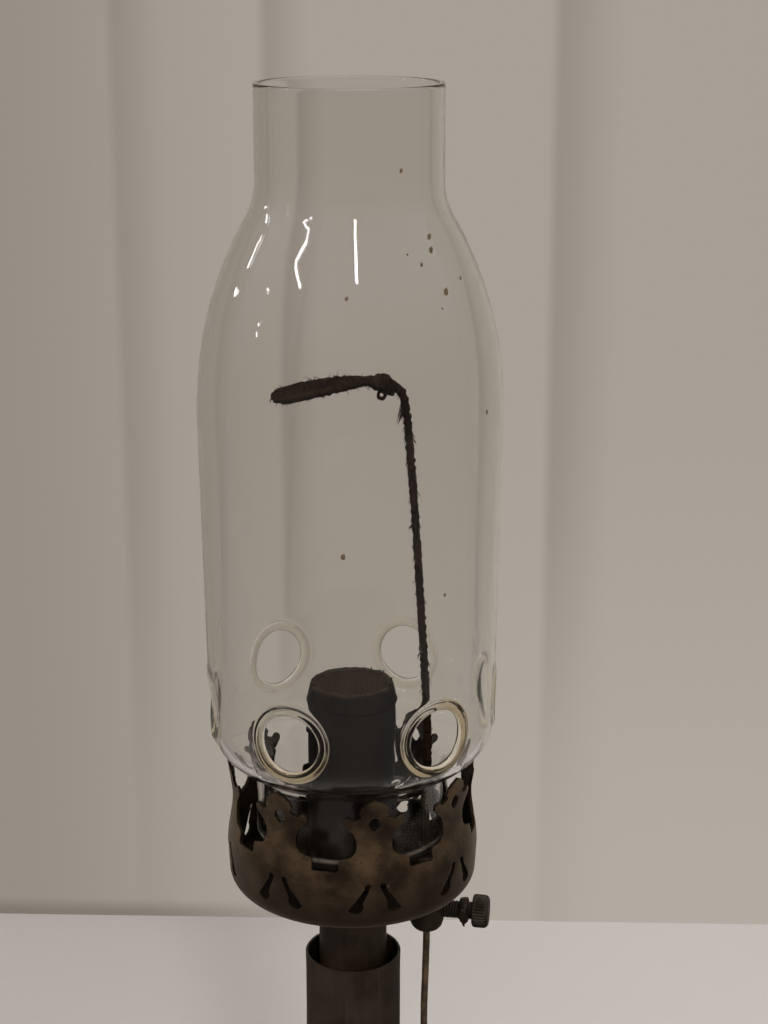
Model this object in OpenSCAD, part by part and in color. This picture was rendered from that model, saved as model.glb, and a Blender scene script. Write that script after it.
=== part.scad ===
// Upright gas lamp: an air-hole glass chimney over a gauze-topped burner in a pierced gallery,
// with a mantle support at its side, on a cock, a column and a cast foot.
// Millimetres. The origin is at the centre of the foot's underside, +Z is up and -Y is the front.

/* [Foot] */
// Diameter of the foot
foot_d = 130; // [116:1:150]
// Height of the foot above its pad
foot_h = 38; // [34:1:46]
// Wall of the hollow cast foot
foot_wall = 4; // [3:0.5:6]
// Height of the foot's rounded rim
foot_rim = 8; // [6:0.5:10]
// Diameter of the foot's neck, where the column stands on it
foot_neck_d = 32; // [28:1:38]
// Thickness of the plate at the foot's neck
foot_plate = 7; // [5:0.5:9]
// Thickness of the felt pad
pad_t = 2; // [1:0.5:3]
// How far the pad stays inside the foot's rim
pad_inset = 4; // [3:0.5:8]

/* [Column] */
// Height of the column between the foot and the cock
column_h = 66; // [60:1:100]
// Diameter of the column's shaft
column_d = 15; // [13:0.5:18]
// Diameter of the column's vase, its thickest part
vase_d = 25; // [20:0.5:30]
// Diameter of the gas way in the column
gas_bore = 6; // [4:0.5:7]
// Diameter of the tail that clamps the column to the foot
tail_d = 12; // [10:0.5:14]
// Thickness of the nut under the foot
foot_nut_h = 5; // [4:0.5:6]
// Thickness of the washers in the foot and at the hose nozzle
washer_t = 1.5; // [1:0.25:2]

/* [Hose nozzle] */
// Height of the nozzle's axis above the foot
nozzle_z = 13; // [11:0.5:18]
// Diameter of the nozzle, which the rubber hose slides over
nozzle_d = 10; // [8:0.5:12]
// Length of the nozzle's plain part
nozzle_plain = 12; // [10:0.5:16]
// Length of the nozzle's ribbed part
nozzle_ribbed = 12; // [9:0.5:15]
// Number of ribs on the nozzle
nozzle_ribs = 4; // [3:1:5]
// Bore of the nozzle
nozzle_bore = 5; // [4:0.5:6]
// Diameter of the nozzle's shoulder
nozzle_shoulder_d = 15; // [14:0.5:18]

/* [Cock] */
// Height of the cock's body
cock_h = 28; // [26:1:34]
// Diameter of the cock's body
cock_d = 19; // [18:0.5:22]
// Length of the cross barrel that holds the plug
barrel_l = 27; // [25:0.5:32]
// Diameter of the cross barrel
barrel_d = 20; // [19:0.5:23]
// Diameter of the tapered plug at its large end
plug_d = 12.4; // [11:0.2:13]
// Diameter of the tapered plug at its small end
plug_tail_d = 9.6; // [9:0.2:10.8]
// Length of the cock's lever from its axis
lever_l = 32; // [26:1:38]
// Thickness of the lever's hub
lever_hub_t = 5; // [4:0.5:6]
// Diameter of the stop pin
stop_pin_d = 2.4; // [2:0.2:3]

/* [Burner base] */
// Height of the injector base between the cock and the sleeve
base_h = 12; // [11:0.5:16]
// Diameter of the flange that the sleeve stands on
base_flange_d = 32; // [31:0.5:36]
// Height of the ring that holds the sleeve and the mixing tube
base_ring_h = 5; // [4:0.5:6]
// Height of the injector's tip above the flange
injector_h = 12; // [10:0.5:14]
// Diameter of the gas jet
jet_d = 1; // [0.6:0.1:1.4]

/* [Sleeve and mixing tube] */
// Outside diameter of the draught sleeve
sleeve_d = 26.3; // [25:0.1:28]
// Wall of the draught sleeve
sleeve_t = 0.6; // [0.5:0.1:1]
// Length of the draught sleeve
sleeve_h = 66.3; // [60:0.1:80]
// Outside diameter of the mixing tube below its cone
tube_low_d = 12.6; // [11.6:0.1:14]
// Outside diameter of the mixing tube above its cone
tube_d = 18.7; // [17:0.1:19.5]
// Wall of the mixing tube
tube_t = 0.8; // [0.6:0.1:1]
// Height of the air ports above the flange
port_z = 10.5; // [10:0.5:13]
// Diameter of the sleeve's air ports
port_d = 7; // [5:0.5:7.5]
// Number of air ports
ports = 4; // [3:1:4]
// Height of the air shutter
shutter_h = 16; // [15.5:0.5:20]
// Wall of the air shutter
shutter_t = 1.6; // [1.2:0.1:2]
// Distance from the sleeve's rim to the hub collar
neck_gap = 18.7; // [14:0.1:24]
// Height of the hub collar under the gallery
hub_collar_h = 4; // [3:0.5:6]
// Diameter of the hub collar
hub_collar_d = 20.4; // [20:0.1:24]

/* [Gallery] */
// Height of the gallery, from its underside to its crown's tips
gallery_h = 37.2; // [35:0.1:42]
// Diameter at the crown's tips
crown_tip_d = 66.4; // [65.4:0.2:68]
// Diameter at the crown's waist
crown_waist_d = 63.6; // [62.6:0.2:65]
// Diameter at the gallery's belly
gallery_belly_d = 66.6; // [65.6:0.2:68]
// Radius of the corner between wall and floor
gallery_corner = 5; // [3:0.5:6]
// Thickness of the gallery's sheet
gallery_t = 0.8; // [0.6:0.1:1.2]
// Number of palmettes in the crown
palmettes = 8; // [6:1:8]
// Turn of the first palmette from +X
palmette_turn = -80; // [-90:1:90]
// Height of the openings' feet above the underside
opening_foot_z = 17; // [15:0.5:19]
// Height of the nut over the gallery's floor
gallery_nut_h = 3.2; // [2.5:0.1:4]

/* [Burner head] */
// Outside diameter of the burner head
head_d = 23.8; // [22.8:0.1:25]
// Wall of the burner head
head_t = 0.8; // [0.6:0.1:1]
// Height of the burner head above the gallery's nut
head_h = 47.8; // [42:0.1:52]
// Diameter of the cap's flange
cap_flange_d = 24.4; // [24:0.1:26]
// Height of the cap's flange
cap_flange_h = 2.2; // [1.8:0.1:3]
// Diameter of the cap above its flange
cap_d = 21.8; // [20.8:0.1:22.4]
// Height of the cap above its flange
cap_h = 2.8; // [2.2:0.1:4]
// Thickness of the gauze
gauze_t = 0.6; // [0.4:0.1:0.8]
// Spacing of the gauze's wires
gauze_pitch = 1.3; // [1.2:0.1:2]
// Thickness of the gauze's wires
gauze_wire = 0.5; // [0.4:0.05:0.6]

/* [Mantle support] */
// Distance of the rod from the lamp's axis
rod_r = 21.6; // [21:0.1:22]
// Direction of the rod, turned from +X
rod_turn = 16; // [0:1:30]
// Diameter of the plain rod
rod_d = 1.8; // [1.6:0.1:2]
// Length of the plain rod below the gallery
rod_below = 77; // [60:1:85]
// Length of the plain rod above the gallery's underside
rod_above = 23; // [20:0.5:26]
// Diameter of the clamp boss
boss_d = 9.8; // [9:0.1:10.6]
// Length of the clamp boss
boss_h = 19.5; // [17:0.5:22]
// Height of the thumbscrew above the boss's lower end
screw_z = 6.4; // [5:0.2:8]
// Direction of the thumbscrew, turned from +X
screw_turn = -10; // [-20:1:10]
// Diameter of the thumbscrew's shank
screw_d = 4.4; // [3.8:0.1:4.8]
// Distance from the rod to the thumbscrew's head
screw_reach = 13; // [12:0.5:16]
// Diameter of the thumbscrew's head
screw_head_d = 9.2; // [8:0.2:11]
// Thickness of the thumbscrew's head
screw_head_t = 4.4; // [3:0.2:6]
// Diameter of the lock nut on the shank
lock_nut_d = 6.6; // [6:0.1:8]
// Thickness of the lock nut
lock_nut_t = 2; // [1.5:0.1:2.5]
// Diameter of the cord-wrapped wire that makes the upright and the fork
fork_d = 2.1; // [1.9:0.1:2.3]
// Height of the bend above the gallery's underside
arm_z = 137.8; // [120:0.1:150]
// Rise of the arm from the bend to the loop's neck
arm_rise = 1.5; // [0:0.1:4]
// Fall of the loop from its neck to its tip
droop = 2.9; // [0:0.1:5]
// How far the arm reaches past the lamp's axis
arm_reach = 21.2; // [18:0.2:22]
// Width of the fork's loop over its wires
loop_w = 8.6; // [7.6:0.2:10]
// Length of the fork's loop
loop_l = 24; // [20:0.5:27]
// Diameter of the ferrule between the rod and the wire
ferrule_d = 3.4; // [3:0.1:3.8]

/* [Chimney] */
// Height of the chimney
chimney_h = 201; // [190:1:215]
// Wall of the glass
glass_t = 1.5; // [1.2:0.1:1.8]
// Outside diameter of the neck
neck_d = 47.8; // [46.8:0.2:49]
// Length of the straight neck
neck_h = 24; // [20:0.5:30]
// Outside diameter of the body
body_d = 79.2; // [76:0.2:80]
// Radius of the flare from the neck
flare_r = 18; // [14:0.5:24]
// Radius of the upper shoulder
shoulder_r = 100; // [90:1:110]
// Outside diameter of the body just above the lower shoulder
body_low_d = 76.4; // [74:0.2:78]
// Length of the taper from the body's full width to the lower shoulder
taper_h = 31.5; // [25:0.5:36]
// Radius of the lower shoulder
low_shoulder_r = 13; // [11.5:0.1:14]
// Radius between the lower shoulder and the fitter
fitter_fillet = 4; // [3:0.1:5]
// Outside diameter of the fitter
fitter_d = 52; // [51.4:0.2:53]
// Length of the straight fitter
fitter_h = 18.2; // [14:0.1:22]
// Number of air holes
air_holes = 6; // [5:1:6]
// Clear diameter of an air hole
air_hole_d = 15.5; // [12:0.1:16]
// Thickness of the glass bead round an air hole
bead_t = 2.5; // [2.1:0.1:2.8]
// Turn of the first air hole from +X
air_hole_turn = -115; // [-120:1:-60]

/* [Fits] */
// Radial clearance of a part that turns or slides in another
running = 0.05; // [0.03:0.01:0.09]
// Gap between faces of parts that move apart
part_gap = 0.3; // [0.2:0.05:0.4]

/* [Hidden] */
$fn = 64;
eps = 0.01;
over = 1;

iron = [0.16, 0.13, 0.1];
old_brass = [0.2, 0.15, 0.1];
dark_steel = [0.13, 0.11, 0.09];

// Heights of the parts, from the table up
foot_top = pad_t + foot_h;
column_top = foot_top + column_h;
cock_top = column_top + cock_h;
flange_top = cock_top + base_h;
sleeve_top = flange_top + sleeve_h;
hub_z = sleeve_top + neck_gap;
gallery_z = hub_z + hub_collar_h;
floor_top = gallery_z + gallery_t;
head_z = floor_top + gallery_nut_h;
head_top = head_z + head_h;
cap_top = head_top + cap_flange_h + cap_h;
crown_top = gallery_z + gallery_h;

// Two arcs that meet on one tangent, as [turn, height], for a step of the radius
function blend_turn(step, r1, r2) = acos(1 - step / (r1 + r2));
function blend_height(step, r1, r2) = (r1 + r2) * sin(blend_turn(step, r1, r2));
function arc(cx, cy, r, from, to, n = 8) =
    [for (i = [0:n]) let (a = from + (to - from) * i / n) [cx + r * cos(a), cy + r * sin(a)]];
function backwards(p) = [for (i = [len(p) - 1:-1:0]) p[i]];

module turned(points) {
    rotate_extrude() polygon(points);
}

module tube(r_out, r_in, z0, z1) {
    translate([0, 0, z0]) difference() {
        cylinder(r = r_out, h = z1 - z0);
        translate([0, 0, -over]) cylinder(r = r_in, h = z1 - z0 + 2 * over);
    }
}

// Copies round the lamp's axis
module around(n, turn = 0) {
    for (i = [0:n - 1]) rotate([0, 0, turn + i * 360 / n]) children();
}

// A cylinder along +X from x0 to x1
module bar_x(r, x0, x1) {
    translate([x0, 0, 0]) rotate([0, 90, 0]) cylinder(r = r, h = x1 - x0);
}

// A knurled disc: an outline with one ridge for each step
module knurled(r, depth, ridges, h) {
    linear_extrude(h) polygon([for (i = [0:2 * ridges - 1])
        let (a = i * 180 / ridges, q = r - (i % 2) * depth) [q * cos(a), q * sin(a)]]);
}

/* Foot */

foot_r = foot_d / 2;
foot_step = 3;
cove_n = 9;
// The foot's cove between the rim and the neck, moved in by t
function foot_cove(t) = [for (i = [0:cove_n]) let (a = 90 * i / cove_n)
    [foot_r - foot_rim - t - (foot_r - foot_rim - foot_neck_d / 2) * sin(a),
     foot_rim + foot_step - t + (foot_h - foot_rim - foot_step - foot_plate / 2) * (1 - cos(a))]];

module foot() color(iron) translate([0, 0, pad_t]) difference() {
    turned(concat([[0, 0]], arc(foot_r - foot_rim / 2, foot_rim / 2, foot_rim / 2, -90, 90),
        [[foot_r - foot_rim + 1, foot_rim], [foot_r - foot_rim + 1, foot_rim + foot_step]],
        foot_cove(0), [[foot_neck_d / 2, foot_h], [0, foot_h]]));
    difference() {
        turned(concat([[0, -over], [foot_r - foot_rim, -over]], foot_cove(foot_wall),
            [[0, foot_h]]));
        translate([0, 0, foot_h - foot_plate]) cylinder(r = foot_r, h = foot_h);
    }
    cylinder(r = tail_d / 2, h = foot_h + over);
}

module foot_pad() color([0.1, 0.13, 0.1]) cylinder(r = foot_r - pad_inset, h = pad_t);

module foot_washer() color(old_brass)
    tube(tail_d / 2 + 4, tail_d / 2, foot_top - foot_plate - washer_t, foot_top - foot_plate);

module foot_nut() color(old_brass) {
    top = foot_top - foot_plate - washer_t;
    translate([0, 0, top - foot_nut_h]) difference() {
        cylinder(r = tail_d / 2 + 4, h = foot_nut_h, $fn = 6);
        translate([0, 0, -over]) cylinder(r = tail_d / 2, h = foot_nut_h + 2 * over);
    }
}

/* Column */

column_foot_d = 27;
column_spigot_d = 10;
column_spigot_h = 6;
tail_l = foot_plate + washer_t + foot_nut_h + 2;
nozzle_boss_d = nozzle_shoulder_d;
nozzle_boss_l = 16;
nozzle_thread_d = 9;
nozzle_thread_l = 6;

// The column's outline above the foot: base ring, vase, shaft and top collar
function column_outline() = concat(
    [[0, 0], [column_foot_d / 2, 0]],
    arc(column_foot_d / 2 - 1, 2, 2, -60, 90, 5),
    [for (i = [0:12]) let (t = i / 12)
        [column_d / 2 + (vase_d - column_d) / 2 * pow(sin(180 * pow(t, 0.75)), 2)
            + (1 - t) * 1.5, 4.5 + t * (column_h * 0.62)]],
    [[column_d / 2, column_h * 0.62 + 5], [column_d / 2, column_h - 8]],
    arc(column_d / 2, column_h - 6.4, 1.6, -90, 90, 6),
    [[column_d / 2, column_h - 4.8], [cock_d / 2, column_h - 2], [cock_d / 2, column_h],
     [column_spigot_d / 2, column_h], [column_spigot_d / 2, column_h + column_spigot_h],
     [0, column_h + column_spigot_h]]);

module column() color(old_brass) translate([0, 0, foot_top]) difference() {
    union() {
        turned(column_outline());
        translate([0, 0, -tail_l]) cylinder(r = tail_d / 2, h = tail_l + over);
        translate([0, 0, nozzle_z]) rotate([-90, 0, 0])
            cylinder(r = nozzle_boss_d / 2, h = nozzle_boss_l);
    }
    translate([0, 0, nozzle_z - gas_bore / 2])
        cylinder(r = gas_bore / 2, h = column_h + column_spigot_h);
    translate([0, 0, nozzle_z]) rotate([-90, 0, 0]) {
        cylinder(r = gas_bore / 2 - 0.5, h = nozzle_boss_l + over);
        translate([0, 0, nozzle_boss_l - nozzle_thread_l])
            cylinder(r = nozzle_thread_d / 2, h = nozzle_thread_l + over);
    }
}

/* Hose nozzle, on the back of the column */

nozzle_flange_t = 3;
rib_depth = 0.8;

module nozzle_washer() color([0.3, 0.22, 0.15]) translate([0, nozzle_boss_l, foot_top + nozzle_z])
    rotate([-90, 0, 0]) tube(nozzle_boss_d / 2 - 0.5, nozzle_thread_d / 2, 0, washer_t);

module hose_nozzle() color(old_brass)
    translate([0, nozzle_boss_l + washer_t, foot_top + nozzle_z]) rotate([-90, 0, 0]) difference() {
        rib = nozzle_ribbed / nozzle_ribs;
        plain_z = nozzle_flange_t + nozzle_plain;
        turned(concat(
            [[0, -washer_t - nozzle_thread_l], [nozzle_thread_d / 2, -washer_t - nozzle_thread_l],
             [nozzle_thread_d / 2, 0], [nozzle_shoulder_d / 2, 0],
             [nozzle_shoulder_d / 2, nozzle_flange_t - 0.6],
             [nozzle_shoulder_d / 2 - 0.6, nozzle_flange_t], [nozzle_d / 2, nozzle_flange_t]],
            [for (i = [0:nozzle_ribs - 1]) each [
                [nozzle_d / 2, plain_z + i * rib],
                [nozzle_d / 2 - rib_depth, plain_z + i * rib + 0.3],
                [nozzle_d / 2 - rib_depth, plain_z + i * rib + 0.9],
                [nozzle_d / 2, plain_z + i * rib + 1.5]]],
            [[nozzle_d / 2, plain_z + nozzle_ribbed],
             [nozzle_d / 2 - 1.2, plain_z + nozzle_ribbed + 1.6],
             [0, plain_z + nozzle_ribbed + 1.6]]));
        translate([0, 0, -washer_t - nozzle_thread_l - over])
            cylinder(r = nozzle_bore / 2, h = nozzle_thread_l + plain_z + nozzle_ribbed + 6);
    }

/* Cock */

cock_mid = column_top + cock_h / 2;
cock_spigot_d = 12;
cock_spigot_h = 6;
plug_way = 6;
hub_r = 9;
stop_r = 7.6;
stem_square = 7;
stop_pin_l = 3;
cock_screw_d = 4;
cock_screw_l = 7;
screw_head_r = 3.6;
screw_head_h = 2.2;
slot_w = 1;
washer_r = plug_tail_d / 2 + 1.2;
lever_bar_t = 3;
lever_bar_w = 5;
lever_ball_d = 8;
// The turn that the stop pin takes up on each side in the hub's notch
stop_turn = asin((stop_pin_d / 2 + part_gap) / stop_r);

module cock_body() color(old_brass) difference() {
    union() {
        translate([0, 0, column_top]) turned([[0, 0], [cock_d / 2, 0], [cock_d / 2, 3],
            [cock_d / 2 - 1.5, 4.5], [cock_d / 2 - 1.5, cock_h - 4.5], [cock_d / 2, cock_h - 3],
            [cock_d / 2, cock_h], [cock_spigot_d / 2, cock_h],
            [cock_spigot_d / 2, cock_h + cock_spigot_h], [0, cock_h + cock_spigot_h]]);
        translate([0, 0, cock_mid]) bar_x(barrel_d / 2, -barrel_l / 2, barrel_l / 2);
    }
    translate([0, 0, column_top - over]) {
        cylinder(r = column_spigot_d / 2, h = column_spigot_h + over);
        cylinder(r = gas_bore / 2, h = cock_h + cock_spigot_h + 3 * over);
    }
    translate([0, 0, cock_mid]) {
        translate([-barrel_l / 2, 0, 0]) rotate([0, 90, 0])
            cylinder(r1 = plug_d / 2 + running, r2 = plug_tail_d / 2 + running, h = barrel_l);
        translate([-barrel_l / 2, 0, stop_r]) bar_x(stop_pin_d / 2, -eps, stop_pin_l);
    }
}

module stop_pin() color(dark_steel) translate([-barrel_l / 2, 0, cock_mid + stop_r])
    bar_x(stop_pin_d / 2, -lever_hub_t + part_gap, stop_pin_l);

// The plug turns with the lever: across the gas way at rest, and open a quarter turn on
module cock_plug() color(old_brass) translate([0, 0, cock_mid]) difference() {
    union() {
        translate([-barrel_l / 2, 0, 0]) rotate([0, 90, 0])
            cylinder(r1 = plug_d / 2, r2 = plug_tail_d / 2, h = barrel_l);
        translate([-barrel_l / 2 - part_gap - lever_hub_t - 1, -stem_square / 2, -stem_square / 2])
            cube([part_gap + lever_hub_t + 1 + over, stem_square, stem_square]);
        bar_x(plug_tail_d / 2 - 1, barrel_l / 2 - over, barrel_l / 2 + part_gap);
    }
    rotate([90, 0, 0]) translate([0, 0, -plug_d]) cylinder(r = plug_way / 2, h = 2 * plug_d);
    bar_x(cock_screw_d / 2, barrel_l / 2 - cock_screw_l, barrel_l / 2 + over);
}

module cock_lever() color(old_brass) translate([-barrel_l / 2 - part_gap - lever_hub_t, 0, cock_mid])
    difference() {
        union() {
            bar_x(hub_r, 0, lever_hub_t);
            rotate([90, 0, 0]) linear_extrude(lever_l)
                translate([0, -lever_bar_w / 2]) square([lever_bar_t, lever_bar_w]);
            translate([lever_bar_t / 2, -lever_l, 0]) sphere(r = lever_ball_d / 2);
        }
        translate([-over, -stem_square / 2, -stem_square / 2])
            cube([lever_hub_t + 2 * over, stem_square, stem_square]);
        rotate([90, 0, 90]) translate([0, 0, -over]) linear_extrude(lever_hub_t + 2 * over)
            polygon(concat(arc(0, 0, stop_r - stop_pin_d / 2 - part_gap, -stop_turn, 90 + stop_turn),
                arc(0, 0, hub_r + over, 90 + stop_turn, -stop_turn)));
    }

module cock_washer() color(dark_steel) translate([barrel_l / 2 + part_gap, 0, cock_mid])
    difference() {
        bar_x(washer_r, 0, washer_t);
        bar_x(cock_screw_d / 2, -over, washer_t + over);
    }

module cock_screw() color(dark_steel) translate([barrel_l / 2 + part_gap + washer_t, 0, cock_mid])
    difference() {
        union() {
            bar_x(screw_head_r, 0, screw_head_h);
            bar_x(cock_screw_d / 2, 1 - washer_t - part_gap - cock_screw_l, over);
        }
        translate([screw_head_h - slot_w, -screw_head_r - over, -slot_w / 2])
            cube([screw_head_h, 2 * (screw_head_r + over), slot_w]);
    }

/* Injector base and injector */

injector_thread_d = 6;
injector_body_d = 8;
base_ring_r = sleeve_d / 2 - sleeve_t;

module injector_base() color(old_brass) difference() {
    translate([0, 0, cock_top]) turned([[0, 0], [cock_d / 2 + 1, 0], [cock_d / 2 + 2, 1],
        [cock_d / 2 + 2, base_h - 4.5], [base_flange_d / 2 - 1.5, base_h - 3.5],
        [base_flange_d / 2, base_h - 2.5], [base_flange_d / 2, base_h], [base_ring_r, base_h],
        [base_ring_r, base_h + base_ring_h], [0, base_h + base_ring_h]]);
    translate([0, 0, cock_top - over]) {
        cylinder(r = cock_spigot_d / 2, h = cock_spigot_h + over);
        cylinder(r = injector_thread_d / 2, h = base_h + 2 * over);
    }
    translate([0, 0, flange_top])
        cylinder(r = tube_low_d / 2, h = base_ring_h + over);
}

module injector() color([0.35, 0.27, 0.15]) translate([0, 0, flange_top]) difference() {
    turned([[0, cock_spigot_h - base_h + 1], [injector_thread_d / 2, cock_spigot_h - base_h + 1],
        [injector_thread_d / 2, 0], [injector_body_d / 2, 0],
        [injector_body_d / 2, injector_h / 2], [1.4, injector_h], [0, injector_h]]);
    translate([0, 0, -base_h]) cylinder(r = 1.6, h = base_h + injector_h - 2);
    cylinder(r = jet_d / 2, h = injector_h + over);
}

/* Mixing tube, with its cone, its hub collar and four air ports */

cone_z = flange_top + 28;
cone_h = 12;
tube_top = head_z + 12;
low_port_d = 5;

module mixing_tube() color(dark_steel) difference() {
    turned([[tube_low_d / 2 - tube_t, flange_top], [tube_low_d / 2, flange_top],
        [tube_low_d / 2, cone_z], [tube_d / 2, cone_z + cone_h], [tube_d / 2, hub_z],
        [hub_collar_d / 2 - 0.5, hub_z], [hub_collar_d / 2, hub_z + 0.5],
        [hub_collar_d / 2, gallery_z], [tube_d / 2, gallery_z], [tube_d / 2, tube_top],
        [tube_d / 2 - tube_t, tube_top], [tube_d / 2 - tube_t, cone_z + cone_h],
        [tube_low_d / 2 - tube_t, cone_z]]);
    around(2, 45) translate([0, 0, flange_top + port_z])
        rotate([90, 0, 0]) translate([0, 0, -tube_d]) cylinder(r = low_port_d / 2, h = 2 * tube_d);
}

/* Draught sleeve and the air shutter that turns on its foot */

module ports_cut() around(ports, 45) translate([0, 0, flange_top + port_z])
    bar_x(port_d / 2, sleeve_d * 0.3, sleeve_d);

module draught_sleeve() color(dark_steel) difference() {
    tube(sleeve_d / 2, sleeve_d / 2 - sleeve_t, flange_top, sleeve_top);
    ports_cut();
}

module air_shutter() color(old_brass) difference() {
    shutter_r = sleeve_d / 2 + running + shutter_t;
    translate([0, 0, flange_top + part_gap]) difference() {
        union() {
            cylinder(r = shutter_r, h = shutter_h);
            knurled(shutter_r + 0.9, 0.5, 48, 3);
            translate([0, 0, shutter_h - 1.5]) cylinder(r = shutter_r + 0.5, h = 1.5);
        }
        translate([0, 0, -over]) cylinder(r = sleeve_d / 2 + running, h = shutter_h + 2 * over);
    }
    ports_cut();
}

/* Gallery: a floor, a plain band and a crown of palmettes */

crown_n = 5;
waist_z = gallery_h * 0.7;
belly_z = gallery_h * 0.32;
function ease(a, b, t) = a + (b - a) * (1 - cos(180 * t)) / 2;
// The wall's radius from the belly to the tips, moved in by t
function crown_wall(t) = concat(
    [for (i = [0:crown_n]) [ease(gallery_belly_d, crown_waist_d, i / crown_n) / 2 - t,
        belly_z + (waist_z - belly_z) * i / crown_n]],
    [for (i = [1:crown_n]) [crown_waist_d / 2 - t
        + (crown_tip_d - crown_waist_d) / 2 * pow(i / crown_n, 1.6),
        waist_z + (gallery_h - waist_z) * i / crown_n]]);
function gallery_corner_arc(t) = arc(gallery_belly_d / 2 - 0.4 - gallery_corner, gallery_corner,
    gallery_corner - t, -90, 0, 5);

sector = 360 / palmettes;
wall_r = gallery_belly_d / 2;
waist_r = crown_waist_d / 2;
// Half widths of a palmette along the wall: its stem, its head and its curled arms
stem_half = 4.7;
head_half = 3.5;
arm_half = 7.4;
tip_half = 0.4;
// Heights above the foot of the openings: their step, the arms and the palmette's head
step_up = 3.4;
arm_up = 15.2;
head_up = 16.9;
head_r = 3.5;
// The distance from the middle of an opening of what lies w along the wall from the palmette's middle
function beside(w) = waist_r * sin(sector / 2 - w / waist_r * 180 / PI);
// Half the outline of the opening between two palmettes, from its foot up: out at the foot's step,
// up the palmette's stem, round the curled arm's tip, in under the head and round the head.
opening_foot = 3.4;
arm_tip_r = 1.2;
opening_half = concat(
    [[opening_foot, opening_foot_z], [opening_foot + 0.2, opening_foot_z + step_up],
     [beside(stem_half + 1), opening_foot_z + step_up + 0.4],
     [beside(stem_half), opening_foot_z + step_up + 2], [beside(stem_half), opening_foot_z + arm_up - 6],
     [beside(arm_half - arm_tip_r), opening_foot_z + arm_up - 2.4]],
    arc(beside(arm_half) + arm_tip_r, opening_foot_z + arm_up - 1, arm_tip_r, 230, 90, 6),
    [[beside(head_half + 0.9), opening_foot_z + arm_up - 0.2],
     [beside(head_half - 0.7), opening_foot_z + arm_up]],
    [for (a = [-20:22.5:70]) [beside(head_half * cos(a)), opening_foot_z + head_up + head_r * sin(a)]],
    [[beside(tip_half), gallery_h + over]]);

module opening_outline() polygon(concat(opening_half,
    backwards([for (p = opening_half) [-p[0], p[1]]])));

diamond_w = 3.2;
diamond_h = 4.2;
diamond_z = gallery_h - 6.8;
// A diamond with its corners on the axes and its sides swollen a little
module diamond_outline() polygon([for (i = [0:7]) let (q = i % 2 == 0 ? 0.5 : 0.43)
    [diamond_w * q * cos(45 * i), diamond_z + diamond_h * q * sin(45 * i)]]);

slot_top = [1.5, 13.4, 0.5];
slot_foot = [5, 6.8, 1.1];
// A leaning slot, narrow at its top and round at its foot; each end is [x, height, radius]
module tear_outline(side) {
    lean = atan2(side * (slot_foot[0] - slot_top[0]), slot_top[1] - slot_foot[1]);
    polygon(concat(arc(side * slot_top[0], slot_top[1], slot_top[2], -lean, 180 - lean, 4),
        arc(side * slot_foot[0], slot_foot[1], slot_foot[2], 180 - lean, 360 - lean, 6)));
}

module through_wall() rotate([90, 0, 90]) translate([0, 0, waist_r * 0.75])
    linear_extrude(wall_r - waist_r * 0.75 + over) children();

module gallery() color(old_brass) translate([0, 0, gallery_z]) difference() {
    turned(concat([[tube_d / 2, 0]], gallery_corner_arc(0), crown_wall(0),
        backwards(crown_wall(gallery_t)), backwards(gallery_corner_arc(gallery_t)),
        [[tube_d / 2, gallery_t]]));
    around(palmettes, palmette_turn + sector / 2) through_wall() opening_outline();
    around(palmettes, palmette_turn) {
        through_wall() diamond_outline();
        for (side = [-1, 1]) through_wall() tear_outline(side);
    }
    rotate([0, 0, rod_turn]) translate([rod_r, 0, -over]) cylinder(r = boss_shank_d / 2, h = 3 * over);
}

module gallery_nut() color(old_brass) translate([0, 0, floor_top]) difference() {
    cylinder(r = head_d / 2, h = gallery_nut_h);
    translate([0, 0, -over]) cylinder(r = tube_d / 2, h = gallery_nut_h + 2 * over);
}

/* Burner head, its gauzes and its cap */

socket_h = 9;
cap_spigot_h = 5;
inner_gauze_z = head_z + head_h * 0.55;

module burner_head() color(dark_steel) turned([
    [tube_d / 2, head_z], [head_d / 2, head_z], [head_d / 2, head_top],
    [head_d / 2 - head_t, head_top], [head_d / 2 - head_t, head_z + 2],
    [tube_d / 2 + 1, head_z + 2], [tube_d / 2 + 1, head_z + socket_h],
    [tube_d / 2, head_z + socket_h]]);

// A woven disc: square gaps between crossing wires, inside a plain edge
module gauze(r, t) difference() {
    cylinder(r = r, h = t);
    gap = gauze_pitch - gauze_wire;
    rows = floor((r - 0.8) / gauze_pitch);
    for (i = [-rows:rows], j = [-rows:rows])
        if (norm([abs(i) * gauze_pitch + gap / 2, abs(j) * gauze_pitch + gap / 2]) < r - 0.4)
            translate([i * gauze_pitch - gap / 2, j * gauze_pitch - gap / 2, -over])
                cube([gap, gap, t + 2 * over]);
}

module inner_gauze() color([0.2, 0.16, 0.12]) translate([0, 0, inner_gauze_z])
    cylinder(r = head_d / 2 - head_t, h = gauze_t);

module gauze_cap() color(dark_steel) {
    in_r = head_d / 2 - head_t - 0.7;
    z1 = head_top + cap_flange_h;
    turned([[in_r, head_top - cap_spigot_h], [head_d / 2 - head_t, head_top - cap_spigot_h],
        [head_d / 2 - head_t, head_top], [cap_flange_d / 2, head_top],
        [cap_flange_d / 2, z1 - 0.5], [cap_flange_d / 2 - 0.5, z1], [cap_d / 2, z1],
        [cap_d / 2, cap_top - 0.3], [cap_d / 2 - 0.3, cap_top], [cap_d / 2 - 0.7, cap_top],
        [cap_d / 2 - 0.7, z1], [in_r, z1 - 1]]);
}

module gauze_disc() color([0.24, 0.19, 0.14]) translate([0, 0, cap_top - gauze_t])
    gauze(cap_d / 2 - 0.7, gauze_t);

/* Mantle support: clamp boss, screw, rod, ferrule and fork */

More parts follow.
